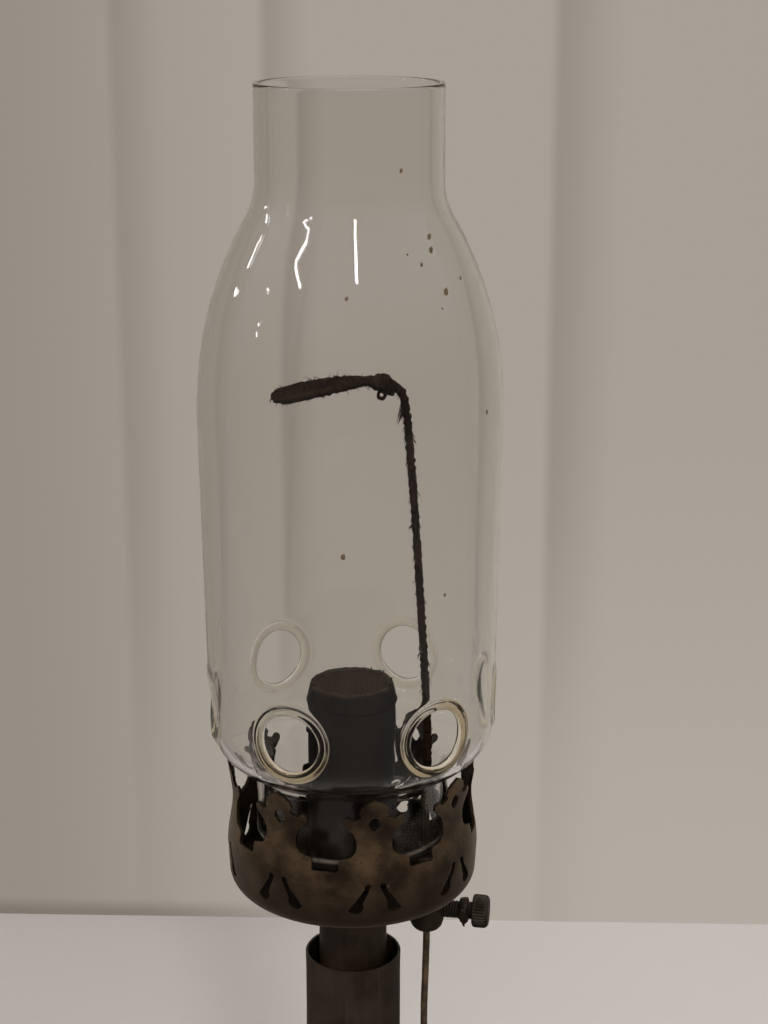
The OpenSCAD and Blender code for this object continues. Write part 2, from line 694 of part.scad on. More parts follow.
boss_shank_d = 6;
boss_nut_h = 2.2;
boss_z = gallery_z - boss_h;
screw_axis_z = boss_z + screw_z;
screw_tip = rod_d / 2 + running;
rod_end = gallery_z - rod_below;
rod_tip = gallery_z + rod_above;
ferrule_h = 8;
ferrule_z = rod_tip - ferrule_h / 2;

module at_rod() rotate([0, 0, rod_turn]) translate([rod_r, 0, 0]) children();
module at_screw() at_rod() rotate([0, 0, screw_turn - rod_turn]) translate([0, 0, screw_axis_z])
    children();

module rod_boss() color(dark_steel) difference() {
    at_rod() turned(concat([[0, boss_z]],
        [for (a = [-80:20:0]) [boss_d / 2 * cos(a), boss_z + boss_d / 2 * 0.7 * (1 + sin(a))]],
        [[boss_d / 2, gallery_z], [boss_shank_d / 2, gallery_z],
         [boss_shank_d / 2, floor_top + boss_nut_h], [0, floor_top + boss_nut_h]]));
    at_rod() translate([0, 0, boss_z - over])
        cylinder(r = rod_d / 2 + running, h = boss_h + boss_nut_h + 4 * over);
    at_screw() bar_x(screw_d / 2 + running, 0, boss_d);
}

module boss_nut() color(dark_steel) at_rod() translate([0, 0, floor_top]) difference() {
    cylinder(r = boss_shank_d / 2 + 1.5, h = boss_nut_h, $fn = 6);
    translate([0, 0, -over]) cylinder(r = boss_shank_d / 2, h = boss_nut_h + 2 * over);
}

module thumbscrew() color([0.15, 0.12, 0.08]) at_screw() {
    bar_x(screw_d / 2, screw_tip, screw_reach + over);
    translate([screw_reach, 0, 0]) rotate([0, 90, 0]) {
        knurled(screw_head_d / 2, 0.35, 32, screw_head_t);
        translate([0, 0, screw_head_t - over]) cylinder(r1 = screw_head_d / 2 - 0.5,
            r2 = screw_head_d / 2 - 1, h = 0.4);
    }
}

module lock_nut() color([0.2, 0.16, 0.1]) at_screw()
    translate([screw_reach - 1.3 - lock_nut_t, 0, 0]) difference() {
        bar_x(lock_nut_d / 2, 0, lock_nut_t);
        bar_x(screw_d / 2 + running, -over, lock_nut_t + over);
    }

module support_rod() color([0.24, 0.18, 0.13]) at_rod() translate([0, 0, rod_end])
    cylinder(r = rod_d / 2, h = rod_tip - rod_end);

module rod_ferrule() color(dark_steel) at_rod() translate([0, 0, ferrule_z]) difference() {
    cylinder(r = ferrule_d / 2, h = ferrule_h);
    translate([0, 0, -over]) cylinder(r = rod_d / 2 + running, h = fork_start - part_gap - ferrule_z + over);
    translate([0, 0, fork_start - ferrule_z]) cylinder(r = fork_d / 2, h = ferrule_h);
}

// The fork's centrelines, in the plane of the rod and the lamp's axis: x points from the axis to the
// rod, y across the loop. The upright leans in, bends over and swells to a knot, and the arm ends
// in one long level loop.
fork_r = fork_d / 2;
fork_start = rod_tip + 2 * part_gap;
fork_straight = 8;
arm_level = gallery_z + arm_z;
bend_x = 14.6;
bend_r = 4;
knot_x = 9.6;
knot_d = 4.8;
knot_l = 3.4;
ring_wire_d = 0.9;
ring_d = 2.8;
loop_half = loop_w / 2 - fork_r;
loop_tip_x = -arm_reach + fork_r;
neck_x = loop_tip_x + loop_l;
loop_arc_x = loop_tip_x + loop_half;
bend_in = bend_x - bend_r;
spread = 6;
function arm_height(x) = arm_level + arm_rise * min(1, (bend_in - x) / (bend_in - neck_x))
    - droop * pow(max(0, neck_x - x) / loop_l, 1.4);

function upright() = concat(
    [[rod_r, 0, fork_start], [rod_r, 0, fork_start + fork_straight]],
    [for (i = [1:7]) let (t = i / 7)
        [rod_r + (bend_x - rod_r) * pow(t, 1.15), 0,
         fork_start + fork_straight + (arm_level - bend_r - 1 - fork_start - fork_straight) * t]],
    [for (a = [20:25:70]) [bend_in + bend_r * cos(a), 0, arm_level - bend_r + bend_r * sin(a)]],
    [for (i = [5:-1:0]) let (x = neck_x - 1 + (bend_in - neck_x + 1) * i / 5)
        [x, 0, arm_height(x)]]);
// The wire's radius along the upright and the arm, swollen at the knot
function knotted(p) = [for (q = p) fork_r + (q[2] < arm_level - 1 ? 0
    : (knot_d / 2 - fork_r) * exp(-pow((q[0] - knot_x) / knot_l, 2) * 4))];

function strand_y(x) = loop_half * (1 - exp((x - neck_x - 1) / spread)) / (1 - exp(-loop_l / spread * 0.8));
function loop_side(side) = [for (i = [0:7]) let (x = neck_x + 1 + (loop_arc_x - neck_x - 1) * i / 7)
    [x, side * min(loop_half, 0.5 + strand_y(x) * (loop_half - 0.5) / loop_half), arm_height(x)]];
function loop_path() = concat(loop_side(1),
    [for (a = [110:20:250]) let (x = loop_arc_x + loop_half * cos(a))
        [x, loop_half * sin(a), arm_height(x)]],
    backwards(loop_side(-1)));
// The strands start thin, inside the arm, and are apart once they have their full thickness
function thinned(p) = [for (q = p) min(fork_r, abs(q[1]) - 0.05)];

// A round tube swept along a list of points, with a radius for each point
function unit(v) = v / norm(v);
function heading(p, i) = unit(p[min(i + 1, len(p) - 1)] - p[max(i - 1, 0)]);
function side_of(h) = unit(cross(h, norm(cross(h, [0, 1, 0])) > 0.3 ? [0, 1, 0] : [0, 0, 1]));
module swept(p, radii, sides) {
    n = len(p);
    rings = [for (i = [0:n - 1]) let (h = heading(p, i), s = side_of(h), t = cross(h, s))
        each [for (k = [0:sides - 1])
            p[i] + radii[i] * (s * cos(k * 360 / sides) + t * sin(k * 360 / sides))]];
    faces = concat(
        [[for (k = [0:sides - 1]) k]],
        [for (i = [0:n - 2], k = [0:sides - 1]) let (a = i * sides + k,
            b = i * sides + (k + 1) % sides) each [[a, a + sides, b + sides], [a, b + sides, b]]],
        [[for (k = [sides - 1:-1:0]) (n - 1) * sides + k]]);
    polyhedron(rings, faces);
}

module mantle_fork() color([0.1, 0.08, 0.07]) rotate([0, 0, rod_turn]) {
    swept(upright(), knotted(upright()), 10);
    swept(loop_path(), thinned(loop_path()), 10);
    translate([knot_x, 0, arm_level - knot_d / 2 - ring_d / 2 + 0.5]) rotate([90, 0, 0])
        rotate_extrude($fn = 12) translate([(ring_d - ring_wire_d) / 2, 0])
            circle(r = ring_wire_d / 2, $fn = 8);
}

/* Chimney */

low_step = (body_low_d - fitter_d) / 2;
low_turn = blend_turn(low_step, low_shoulder_r, fitter_fillet);
low_h = blend_height(low_step, low_shoulder_r, fitter_fillet);
up_step = (body_d - neck_d) / 2;
up_turn = blend_turn(up_step, shoulder_r, flare_r);
up_h = blend_height(up_step, shoulder_r, flare_r);
// Heights above the chimney's lower end
low_shoulder_z = fitter_h + low_h;
up_shoulder_z = chimney_h - neck_h - up_h;
body_z = low_shoulder_z + taper_h;
air_hole_up = 4.8;
air_hole_z = low_shoulder_z + air_hole_up;

// The glass outline, moved in by t
function glass(t) = concat(
    [[fitter_d / 2 - t, 0]],
    arc(fitter_d / 2 + fitter_fillet, fitter_h, fitter_fillet + t, 180, 180 - low_turn, 5),
    arc(body_low_d / 2 - low_shoulder_r, low_shoulder_z, low_shoulder_r - t, -low_turn, 0, 9),
    [[body_d / 2 - t, body_z]],
    arc(body_d / 2 - shoulder_r, up_shoulder_z, shoulder_r - t, 0, up_turn, 10),
    arc(neck_d / 2 + flare_r, chimney_h - neck_h, flare_r + t, 180 + up_turn, 180, 5),
    [[neck_d / 2 - t, chimney_h]]);

// The lower shoulder stands on the inner edge of the crown's tips
seat_r = crown_tip_d / 2 - gallery_t;
seat_drop = low_shoulder_z - sqrt(pow(low_shoulder_r, 2)
    - pow(seat_r - body_low_d / 2 + low_shoulder_r, 2));
chimney_z = crown_top + part_gap - seat_drop;
air_hole_out_r = body_low_d / 2 + (body_d - body_low_d) / 2 * air_hole_up / taper_h;

module chimney() color([0.85, 0.87, 0.85, 0.35]) translate([0, 0, chimney_z]) {
    bead_r = (air_hole_d + bead_t) / 2;
    difference() {
        turned(concat(glass(0), backwards(glass(glass_t))));
        around(air_holes, air_hole_turn) translate([air_hole_out_r - 8, 0, air_hole_z])
            rotate([0, 90, 0]) cylinder(r = bead_r, h = 16);
    }
    around(air_holes, air_hole_turn) translate([air_hole_out_r - glass_t * 0.5, 0, air_hole_z])
        rotate([0, 90, 0]) rotate_extrude() translate([bead_r, 0]) circle(r = bead_t / 2);
}

foot_pad();
foot();
foot_washer();
foot_nut();
column();
nozzle_washer();
hose_nozzle();
cock_body();
stop_pin();
cock_plug();
cock_lever();
cock_washer();
cock_screw();
injector_base();
injector();
mixing_tube();
draught_sleeve();
air_shutter();
gallery();
gallery_nut();
burner_head();
inner_gauze();
gauze_cap();
gauze_disc();
rod_boss();
boss_nut();
thumbscrew();
lock_nut();
support_rod();
rod_ferrule();
mantle_fork();
chimney();
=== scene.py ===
"""The looks of an upright gas lamp: glass, sooty brass, sheet steel, gauze and cord-wrapped wire.

Metres, in the part's own frame: +Z is up the lamp's axis, -Y is the front.
"""
import random
from math import asin, atan2, ceil, cos, degrees, exp, pi, radians, sin, sqrt, tan

import bmesh
import bpy
from mathutils import Matrix, Vector, noise


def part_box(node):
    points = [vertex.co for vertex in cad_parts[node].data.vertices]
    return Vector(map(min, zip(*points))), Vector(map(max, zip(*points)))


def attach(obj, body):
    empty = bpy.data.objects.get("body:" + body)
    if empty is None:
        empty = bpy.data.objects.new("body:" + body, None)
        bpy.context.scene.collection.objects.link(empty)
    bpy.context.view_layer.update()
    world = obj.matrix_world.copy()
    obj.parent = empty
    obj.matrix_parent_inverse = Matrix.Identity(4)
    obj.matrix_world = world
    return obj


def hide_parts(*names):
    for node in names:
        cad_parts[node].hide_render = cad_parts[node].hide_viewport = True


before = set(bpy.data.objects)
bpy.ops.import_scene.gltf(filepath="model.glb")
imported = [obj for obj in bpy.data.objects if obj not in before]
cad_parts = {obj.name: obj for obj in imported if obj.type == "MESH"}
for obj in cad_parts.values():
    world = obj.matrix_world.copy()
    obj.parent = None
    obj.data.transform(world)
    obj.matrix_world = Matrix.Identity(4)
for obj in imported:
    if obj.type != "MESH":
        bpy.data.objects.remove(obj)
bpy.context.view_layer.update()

MM = 0.001
TURN = 2 * pi


# Places and sizes, in millimetres, worked out from the frame

def span(node):
    """A node's lowest and highest corners."""
    return [[v / MM for v in corner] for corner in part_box(node)]


def ends(node):
    """The heights of a node's lower and upper ends."""
    return [corner[2] for corner in span(node)]


GLASS_Z, RIM_Z = ends("chimney")
GALLERY_Z = ends("gallery")[0]
BOSS_Z = ends("rod_boss")[0]
FOOT_Z = ends("foot")[1]
COCK_Z = sum(ends("cock_plug")) / 2
SCREW_Z = sum(ends("lock_nut")) / 2
SCREW_TURN = radians(-10)
ROD_R = 21.6
ROD_TURN = radians(16)
ROD_X = ROD_R * cos(ROD_TURN)
ROD_Y = ROD_R * sin(ROD_TURN)
ROD_PLACE = Matrix.Translation((ROD_X, ROD_Y, 0))
HOLE_UP = 39.304
HOLE_TURN = radians(-115)


# Outlines: lists of (radius, height) in millimetres

def clamp(share):
    return min(1.0, max(0.0, share))


def raised(foot, *points):
    """Points whose heights are given from a foot that is itself at some height."""
    return [(r, foot + h) for r, h in points]


def arc(cx, cy, r, start, end, n=8):
    """Points round a centre, from one angle to another in degrees."""
    angles = [radians(start + (end - start) * i / n) for i in range(n + 1)]
    return [(cx + r * cos(a), cy + r * sin(a)) for a in angles]


def eased(outline, r, closed=True):
    """The outline with each corner rounded to the radius r, or less where a side is short."""
    points = [Vector(p) for p in outline]
    out = []
    for i, p in enumerate(points):
        if not closed and i in (0, len(points) - 1):
            out.append(tuple(p))
            continue
        before = points[i - 1] - p
        after = points[(i + 1) % len(points)] - p
        turn = before.angle(after, pi)
        if turn > radians(172):
            out.append(tuple(p))
            continue
        cut = min(r / tan(turn / 2), before.length * 0.45, after.length * 0.45)
        start = p + before.normalized() * cut
        end = p + after.normalized() * cut
        for k in range(4):
            out.append(tuple(start.lerp(p, k / 3).lerp(p.lerp(end, k / 3), k / 3)))
    return out


# Meshes

def put_in(name, data):
    """Puts a mesh, a light or a camera into the scene."""
    thing = bpy.data.objects.new(name, data)
    bpy.context.scene.collection.objects.link(thing)
    return thing


def as_object(bm, name, *finishes):
    mesh = bpy.data.meshes.new(name)
    bm.to_mesh(mesh)
    bm.free()
    for finish in finishes:
        mesh.materials.append(finish)
    return put_in(name, mesh)


def keep(bm, name, *finishes, crease=38, merge=0.004):
    """A bmesh in millimetres becomes an object in metres, smooth but for its sharp edges."""
    bmesh.ops.remove_doubles(bm, verts=bm.verts, dist=merge)
    bmesh.ops.recalc_face_normals(bm, faces=bm.faces)
    bmesh.ops.scale(bm, vec=(MM, MM, MM), verts=bm.verts)
    piece = as_object(bm, name, *finishes)
    piece.data.shade_smooth()
    piece.data.set_sharp_from_angle(angle=radians(crease))
    return piece


def stand_for(piece, node, body="stand"):
    """The piece replaces a node and moves with its body; without a node it is an added detail."""
    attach(piece, body)
    if node:
        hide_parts(node)


def fit(bm, name, *finishes, node, slot, body="stand", crease=38, merge=0.004):
    stand_for(keep(bm, name, *finishes, crease=crease, merge=merge), node, body)


def spin_outline(bm, outline, steps, closed=True):
    """Turns an outline round the Z axis; it is closed on itself or open at its ends."""
    verts = [bm.verts.new((r, 0, z)) for r, z in outline]
    pairs = list(zip(verts, verts[1:]))
    if closed:
        pairs.append((verts[-1], verts[0]))
    edges = [bm.edges.new(pair) for pair in pairs]
    bmesh.ops.spin(bm, geom=verts + edges, cent=(0, 0, 0), axis=(0, 0, 1), angle=TURN,
                   steps=steps, use_merge=True, use_duplicate=False)
    bmesh.ops.remove_doubles(bm, verts=bm.verts, dist=0.002)


def merge_in(bm, other):
    """Moves another bmesh's shape into this one."""
    mesh = bpy.data.meshes.new("part")
    other.to_mesh(mesh)
    other.free()
    bm.from_mesh(mesh)
    bpy.data.meshes.remove(mesh)


def turned(outline, steps, ease, closed=True, place=None):
    """A bmesh with a turned shape with eased corners, put in its place."""
    bm = bmesh.new()
    spin_outline(bm, eased(outline, ease, closed), steps, closed)
    if place:
        bm.transform(place)
    return bm


def widen(v, scale):
    """Moves a point away from the Z axis."""
    v.co.x *= scale
    v.co.y *= scale


def only(made, kind):
    """The points, edges or faces among what an operator made."""
    return [g for g in made if isinstance(g, kind)]


def lift(bm, height):
    bmesh.ops.translate(bm, vec=(0, 0, height), verts=bm.verts)


def face_x(x, y, z, turn=0.0):
    """Puts a shape that was turned about Z on an axis along +X, turned about Z by an angle."""
    return Matrix.Translation((x, y, z)) @ Matrix.Rotation(turn, 4, "Z") @ Matrix.Rotation(pi / 2, 4, "Y")


def face_y(y, z):
    return Matrix.Translation((0, y, z)) @ Matrix.Rotation(-pi / 2, 4, "X")


def knurl(bm, ridges, depth, inside):
    """Presses ridges into the points for which inside(v) is true; they stand round the Z axis."""
    for v in bm.verts:
        if inside(v):
            turn = atan2(v.co.y, v.co.x)
            widen(v, 1 - depth * (1 - cos(ridges * turn)) / 2 / v.co.xy.length)


# Materials: a recipe wraps a node tree, and Python's operators make its Math nodes

class Socket:
    """An output of a shader node that can be added to, multiplied and so on."""

    def __init__(self, recipe, out):
        self.recipe = recipe
        self.out = out

    def math(self, operation, *values):
        return self.recipe.node("ShaderNodeMath", {"operation": operation}, dict(enumerate(values)))[0]

    def __add__(self, other):
        return self.math("ADD", self, other)

    def __sub__(self, other):
        return self.math("SUBTRACT", self, other)

    def __rsub__(self, other):
        return self.math("SUBTRACT", other, self)

    def __mul__(self, other):
        return self.math("MULTIPLY", self, other)

    __radd__ = __add__
    __rmul__ = __mul__

    def at_least(self, other):
        return self.math("MAXIMUM", self, other)

    def ramp(self, low, high):
        """0 below low, 1 above high and a smooth rise between."""
        settings = {"interpolation_type": "SMOOTHSTEP"}
        return self.recipe.node("ShaderNodeMapRange", settings, {0: self, 1: low, 2: high})[0]

    def above(self, low, high):
        """The same for a height on the lamp, in millimetres."""
        return self.ramp(low * MM, high * MM)


def linear(tone):
    """An sRGB triple of 0 to 255 as the linear colour that a shader takes; the rest as it is."""
    if not isinstance(tone, tuple) or len(tone) != 3:
        return tone
    parts = [v / 255 for v in tone]
    return (*(v / 12.92 if v <= 0.04045 else ((v + 0.055) / 1.055) ** 2.4 for v in parts), 1.0)


class Recipe:
    """The node tree of one material, or of the room's light."""

    def __init__(self, name, room=False):
        self.made = bpy.data.worlds.new(name) if room else bpy.data.materials.new(name)
        self.made.use_nodes = True
        self.tree = self.made.node_tree
        self.tree.nodes.clear()
        self.end = self.tree.nodes.new("ShaderNodeOutputWorld" if room else "ShaderNodeOutputMaterial")
        if not room:
            self.place = self.node("ShaderNodeTexCoord", {}, {}, pick="Object")

    def node(self, kind, settings, sockets, pick=None):
        """Adds a node, sets its settings and then its sockets, and returns its outputs."""
        node = self.tree.nodes.new(kind)
        for key, value in settings.items():
            setattr(node, key, value)
        for key, value in sockets.items():
            if isinstance(value, Socket):
                self.tree.links.new(value.out, node.inputs[key])
            elif value is not None:
                node.inputs[key].default_value = value
        if pick is not None:
            return Socket(self, node.outputs[pick])
        return [Socket(self, out) for out in node.outputs]

    def noise(self, size, detail=4.0, rough=0.55, stretch=None):
        """Noise from 0 to 1 whose spots are about size metres wide."""
        place = self.place
        if stretch:
            place = self.node("ShaderNodeMapping", {}, {"Vector": place, "Scale": (1, 1, stretch)})[0]
        return self.node("ShaderNodeTexNoise", {"noise_dimensions": "3D"},
                         {"Vector": place, "Scale": 1 / size, "Detail": detail, "Roughness": rough})[0]

    def specks(self, size, low, high):
        """Small round specks, one in each cell of about size metres."""
        sockets = {"Vector": self.place, "Scale": 1 / size}
        return 1 - self.node("ShaderNodeTexVoronoi", {}, sockets, pick="Distance").ramp(low, high)

    def mix(self, share, first, second):
        """A colour between two colours."""
        return self.node("ShaderNodeMix", {"data_type": "RGBA", "clamp_factor": True},
                         {0: share, 6: linear(first), 7: linear(second)})[2]

    def layers(self, tone, *over):
        """A tone with others laid over it, each given as (share, tone)."""
        for share, other in over:
            tone = self.mix(share, tone, other)
        return tone

    def bump(self, height, depth, strength=1.0):
        sockets = {"Height": height, "Distance": depth, "Strength": strength}
        return self.node("ShaderNodeBump", {}, sockets)[0]

    def axis(self, name):
        return self.node("ShaderNodeSeparateXYZ", {}, {"Vector": self.place}, pick=name)

    def ray(self, kind):
        """1 for one kind of light path, and 0 for the others."""
        return self.node("ShaderNodeLightPath", {}, {}, pick=kind)

    def mirrored(self):
        """1 for what a surface mirrors, but not for what is seen through glass."""
        return self.ray("Is Glossy Ray") * (1 - self.ray("Is Transmission Ray"))

    def surface(self, tone, rough, sockets):
        return self.node("ShaderNodeBsdfPrincipled", {},
                         {"Base Color": linear(tone), "Roughness": rough, **sockets})[0]

    def see_through(self, *tint):
        return self.node("ShaderNodeBsdfTransparent", {}, {"Color": tint or None})[0]

    def finish(self, tone, rough, relief, depth, sockets):
        """The finished material: a surface whose relief is about depth metres deep."""
        return self.done(self.surface(tone, rough, {"Normal": self.bump(relief, depth), **sockets}))

    def blend(self, share, first, second):
        return self.node("ShaderNodeMixShader", {}, {0: share, 1: first, 2: second})[0]

    def done(self, shader):
        self.tree.links.new(shader.out, self.end.inputs["Surface"])
        return self.made


def old_metal(name, deep, warm, pale, metal=0.6, rough=0.42, dust=0.25, depth=0.00006, shine=0.3,
              nap=0.0, painted_shade_to=None):
    """Metal under tarnish and soot: patches of two tones, pale dust, pits and a soft sheen.

    nap is how much fine dust lightens the sides; the last argument is the height in millimetres below
    which painted shade darkens the metal.
    """
    r = Recipe(name)
    grain = 0.0011
    patch = r.noise(0.011, 5.0, 0.6).ramp(0.35, 0.68)
    fine = r.noise(grain, 3.0, 0.6)
    specks = r.specks(grain * 1.6, 0.1, 0.34)
    film = r.noise(0.02, 3.0).ramp(0.5, 0.8) * fine.ramp(0.35, 0.75) * dust
    tone = r.layers(deep, (patch, warm), (film, pale), (specks * 0.5, deep))
    if painted_shade_to:
        # Painted shade: below the given height the metal darkens towards its deep tone.
        tone = r.mix((1 - r.axis("Z").above(painted_shade_to - 22, painted_shade_to)) * 0.85, tone, deep)
    roughness = patch * 0.2 + fine * 0.14 + film * 0.3 + (rough - 0.12)
    relief = fine * 0.6 - specks * 0.5 + r.noise(0.005, 2.0)
    return r.finish(tone, roughness.at_least(0.12), relief, depth, {
        "Metallic": metal, "Specular IOR Level": shine, "Sheen Weight": nap, "Sheen Roughness": 0.45,
        "Sheen Tint": (1.0, 0.82, 0.62, 1)})


def sheet_steel():
    """Heat-blackened sheet with drawn, upright streaks."""
    r = Recipe("heat_black_steel")
    streak = r.noise(0.0016, 4.0, 0.6, stretch=0.06)
    patch = r.noise(0.013, 4.0, 0.6).ramp(0.35, 0.7)
    fine = r.noise(0.0006, 2.0)
    tone = r.layers((30, 22, 15), (patch, (49, 38, 27)), (streak.ramp(0.5, 0.8) * 0.4, (64, 52, 38)))
    return r.finish(tone, streak * 0.22 + patch * 0.14 + 0.3, streak * 0.7 + fine * 0.4, 0.00004, {
        "Metallic": 0.3, "Specular IOR Level": 0.35})


def burner_black():
    """The burner head's scale, black from the flame."""
    r = Recipe("burner_scale")
    patch = r.noise(0.009, 4.0, 0.6).ramp(0.3, 0.7)
    fine = r.noise(0.0011, 3.0)
    tone = r.layers((5, 3, 2), (patch, (14, 10, 7)), (fine.ramp(0.6, 0.8) * 0.35, (30, 23, 17)))
    return r.finish(tone, patch * 0.15 + fine * 0.2 + 0.5, fine, 0.00004, {"Specular IOR Level": 0.05})


def burnt_gauze():
    """Woven wire, brown with oxide."""
    r = Recipe("burnt_gauze")
    patch = r.noise(0.004, 4.0).ramp(0.3, 0.7)
    fine = r.noise(0.0005, 3.0)
    tone = r.layers((15, 10, 7), (patch, (33, 25, 17)), (fine.ramp(0.55, 0.8) * 0.5, (54, 41, 28)))
    return r.finish(tone, fine * 0.2 + 0.62, fine, 0.00005, {"Specular IOR Level": 0.05})


def rusty_wire():
    """Drawn wire with a thin, even rust, and soot where it is inside the gallery."""
    r = Recipe("rusty_wire")
    streak = r.noise(0.001, 4.0, 0.6, stretch=0.25)
    spots = r.noise(0.003, 3.0).ramp(0.4, 0.7)
    soot = r.axis("Z").above(GALLERY_Z - 1, GALLERY_Z + 5)
    tone = r.layers((60, 45, 31), (spots, (98, 78, 57)), (streak.ramp(0.55, 0.8) * 0.6, (118, 97, 73)),
                    (soot * 0.9, (18, 12, 8)))
    return r.finish(tone, streak * 0.2 + 0.45, streak, 0.00005, {"Metallic": 0.35})


def soot_cord(name="soot_cord", pale=0.12):
    """Mineral cord black with soot, with paler fibres where it is frayed."""
    r = Recipe(name)
    fine = r.noise(0.0004, 3.0, 0.7)
    patch = r.noise(0.006, 3.0).ramp(0.45, 0.8)
    tone = r.layers((8, 4, 2), (fine, (25, 17, 11)), (patch * pale, (84, 69, 54)))
    return r.finish(tone, 0.95, fine, 0.00012, {"Specular IOR Level": 0.02})


def clear_glass(name, tint, haze, lower=None):
    """Blown glass: clear, with a faint film, that lets the lamps' light through.

    lower is the tint of the beads where they are thick and honey-coloured. The fitter is foggy
    with soot, most of all on its ground edge.
    """
    r = Recipe(name)
    up = r.axis("Z")
    if lower:
        low = 1 - up.above(GLASS_Z + HOLE_UP - 8, GLASS_Z + HOLE_UP + 5)
        thick = low.at_least(r.axis("X").above(18, 26))
        tint = r.mix(thick * (1 - r.axis("Y").above(-10, 10)), tint, lower)
    ripple = r.noise(0.03, 1.0, 0.4, stretch=0.35)
    film = r.noise(0.012, 4.0, 0.65).ramp(0.42, 0.78)
    specks = r.specks(0.0042, 0.02, 0.055)
    glass = r.surface(tint, 0.0, {
        "IOR": 1.5, "Transmission Weight": 1.0, "Specular Tint": (0.3, 0.3, 0.3, 1),
        "Normal": r.bump(ripple, 0.0006, 0.35)})
    fog = 1 - up.above(GLASS_Z + 8, GLASS_Z + 26)
    ground = 1 - up.above(GLASS_Z + 1.5, GLASS_Z + 3)
    dust = r.surface(r.mix(ground, (150, 139, 128), (20, 14, 10)), 0.9, {"Specular IOR Level": 0.1})
    dusty = r.blend(film * (fog * 0.035 + haze) + specks * haze * 4 + ground * 0.85, glass, dust)
    return r.done(r.blend(r.ray("Is Shadow Ray"), dusty, r.see_through(0.93, 0.93, 0.92, 1)))


def iron_lacquer():
    """Cast iron under old black lacquer that has chipped to brown."""
    r = Recipe("iron_lacquer")
    cast = r.noise(0.0035, 5.0, 0.65)
    chips = r.noise(0.008, 6.0, 0.7).ramp(0.62, 0.7)
    fine = r.noise(0.0009, 3.0)
    tone = r.layers((26, 22, 19), (cast.ramp(0.3, 0.7), (40, 34, 28)), (chips * 0.85, (78, 52, 34)))
    relief = cast - chips * 0.6 + fine * 0.3
    return r.finish(tone, chips * 0.4 + fine * 0.15 + 0.3, relief, 0.00022, {
        "Metallic": 0.1, "Specular IOR Level": 0.3, "Coat Weight": 0.12, "Coat Roughness": 0.3})


def felt():
    """Green felt with a short nap."""
    r = Recipe("felt")
    nap = r.noise(0.0008, 5.0, 0.8)
    patch = r.noise(0.01, 3.0).ramp(0.4, 0.7)
    tone = r.layers((34, 46, 34), (nap, (70, 84, 62)), (patch * 0.3, (72, 66, 48)))
    return r.finish(tone, 1.0, nap, 0.0004, {
        "Specular IOR Level": 0.15, "Sheen Weight": 0.4, "Sheen Roughness": 0.6})


def pressed_fibre():
    r = Recipe("pressed_fibre")
    fine = r.noise(0.0012, 4.0, 0.7)
    return r.finish(r.mix(fine, (74, 42, 26), (118, 74, 48)), 0.75, fine, 0.0002, {})


# The gallery's metal darkens towards its foot with painted shade.
GALLERY_BRASS = old_metal("gallery_brass", (23, 14, 6), (60, 46, 31), (84, 70, 54), metal=0.1, rough=0.5,
                          dust=0.35, shine=0.12, nap=0.08, painted_shade_to=GALLERY_Z + 22)
GALLERY_SOOT = old_metal("gallery_soot", (9, 5, 2), (21, 15, 9), (40, 32, 24), metal=0.0, rough=0.7,
                         dust=0.3, shine=0.04)
COLUMN_BRASS = old_metal("column_brass", (60, 44, 27), (104, 79, 47), (124, 106, 80), rough=0.36, dust=0.2)
SCREW_BRASS = old_metal("screw_brass", (22, 16, 9), (40, 31, 20), (72, 60, 44), metal=0.25, rough=0.52,
                        dust=0.35, depth=0.00012)
FLECK = old_metal("fleck", (80, 67, 52), (104, 88, 68), (120, 106, 88), metal=0.0, rough=0.7, shine=0.1)
SHEET = sheet_steel()
BURNER = burner_black()
GAUZE = burnt_gauze()
WIRE = rusty_wire()
CORD = soot_cord()
FIBRES = soot_cord("soot_fibres", pale=0.35)
GLASS = clear_glass("clear_glass", (0.908, 0.889, 0.877, 1), 0.003)
BEAD_GLASS = clear_glass("bead_glass", (0.88, 0.85, 0.79, 1), 0.004, lower=(0.76, 0.66, 0.47, 1))
IRON = iron_lacquer()


# The camera and the plain surroundings

def set_camera():
    lens, back, above_rim, down, aside = 70.6, 0.5052, 35.9, 16.157, -0.98
    data = bpy.data.cameras.new("camera")
    data.lens = lens
    data.clip_start = 0.02
    camera = put_in("camera", data)
    camera.location = (0, -back, (RIM_Z + above_rim) * MM)
    camera.rotation_euler = (radians(90 - down), 0, radians(aside))
    bpy.context.scene.camera = camera


def wall_paint():
    """Warm grey board in upright panels, with painted light and shade: darker to the left, lighter to the
    right and below, painted shade in the seams and a painted shadow along its foot; clear from behind.
    """
    r = Recipe("wall_paint")
    x, z = r.axis("X"), r.axis("Z")
    # Painted light and shade: darker to the left, lighter to the right and lowest down on the right.
    tone = r.layers((148, 141, 131), (x.ramp(-0.18, -0.03), (166, 159, 149)),
                    (x.ramp(-0.1, 0.16) * (1 - z.ramp(0.0, 0.3)), (177, 170, 160)))
    # Painted shade in the seams between the panels, strongest higher up.
    for edge, reach, depth in ((-0.107, 0.026, 0.45), (-0.038, 0.024, 0.5), (0.095, 0.034, 0.5)):
        seam_shade = x.ramp(edge - 0.005, edge + 0.002) * (1 - x.ramp(edge - 0.004, edge + reach))
        tone = r.mix(seam_shade * (z.ramp(0.02, 0.26) * 0.8 + 0.2) * depth, tone, (128, 121, 111))
    # Painted shadow along the foot of the wall, on its left.
    painted_foot_shadow = (1 - z.ramp(0.001, 0.011)) * (1 - x.ramp(-0.12, 0.03))
    tone = r.mix(painted_foot_shadow * 0.6, tone, (108, 101, 91))
    paint = r.surface(tone, 0.75, {"Specular IOR Level": 0.2})
    # Seen straight on or through glass, the wall glows with its tone, painted light and shade included.
    plain = r.node("ShaderNodeEmission", {}, {"Color": tone})[0]
    seen = r.ray("Is Camera Ray") + r.ray("Is Transmission Ray")
    back = r.node("ShaderNodeNewGeometry", {}, {}, pick="Backfacing")
    return r.done(r.blend(back, r.blend(seen, paint, plain), r.see_through()))


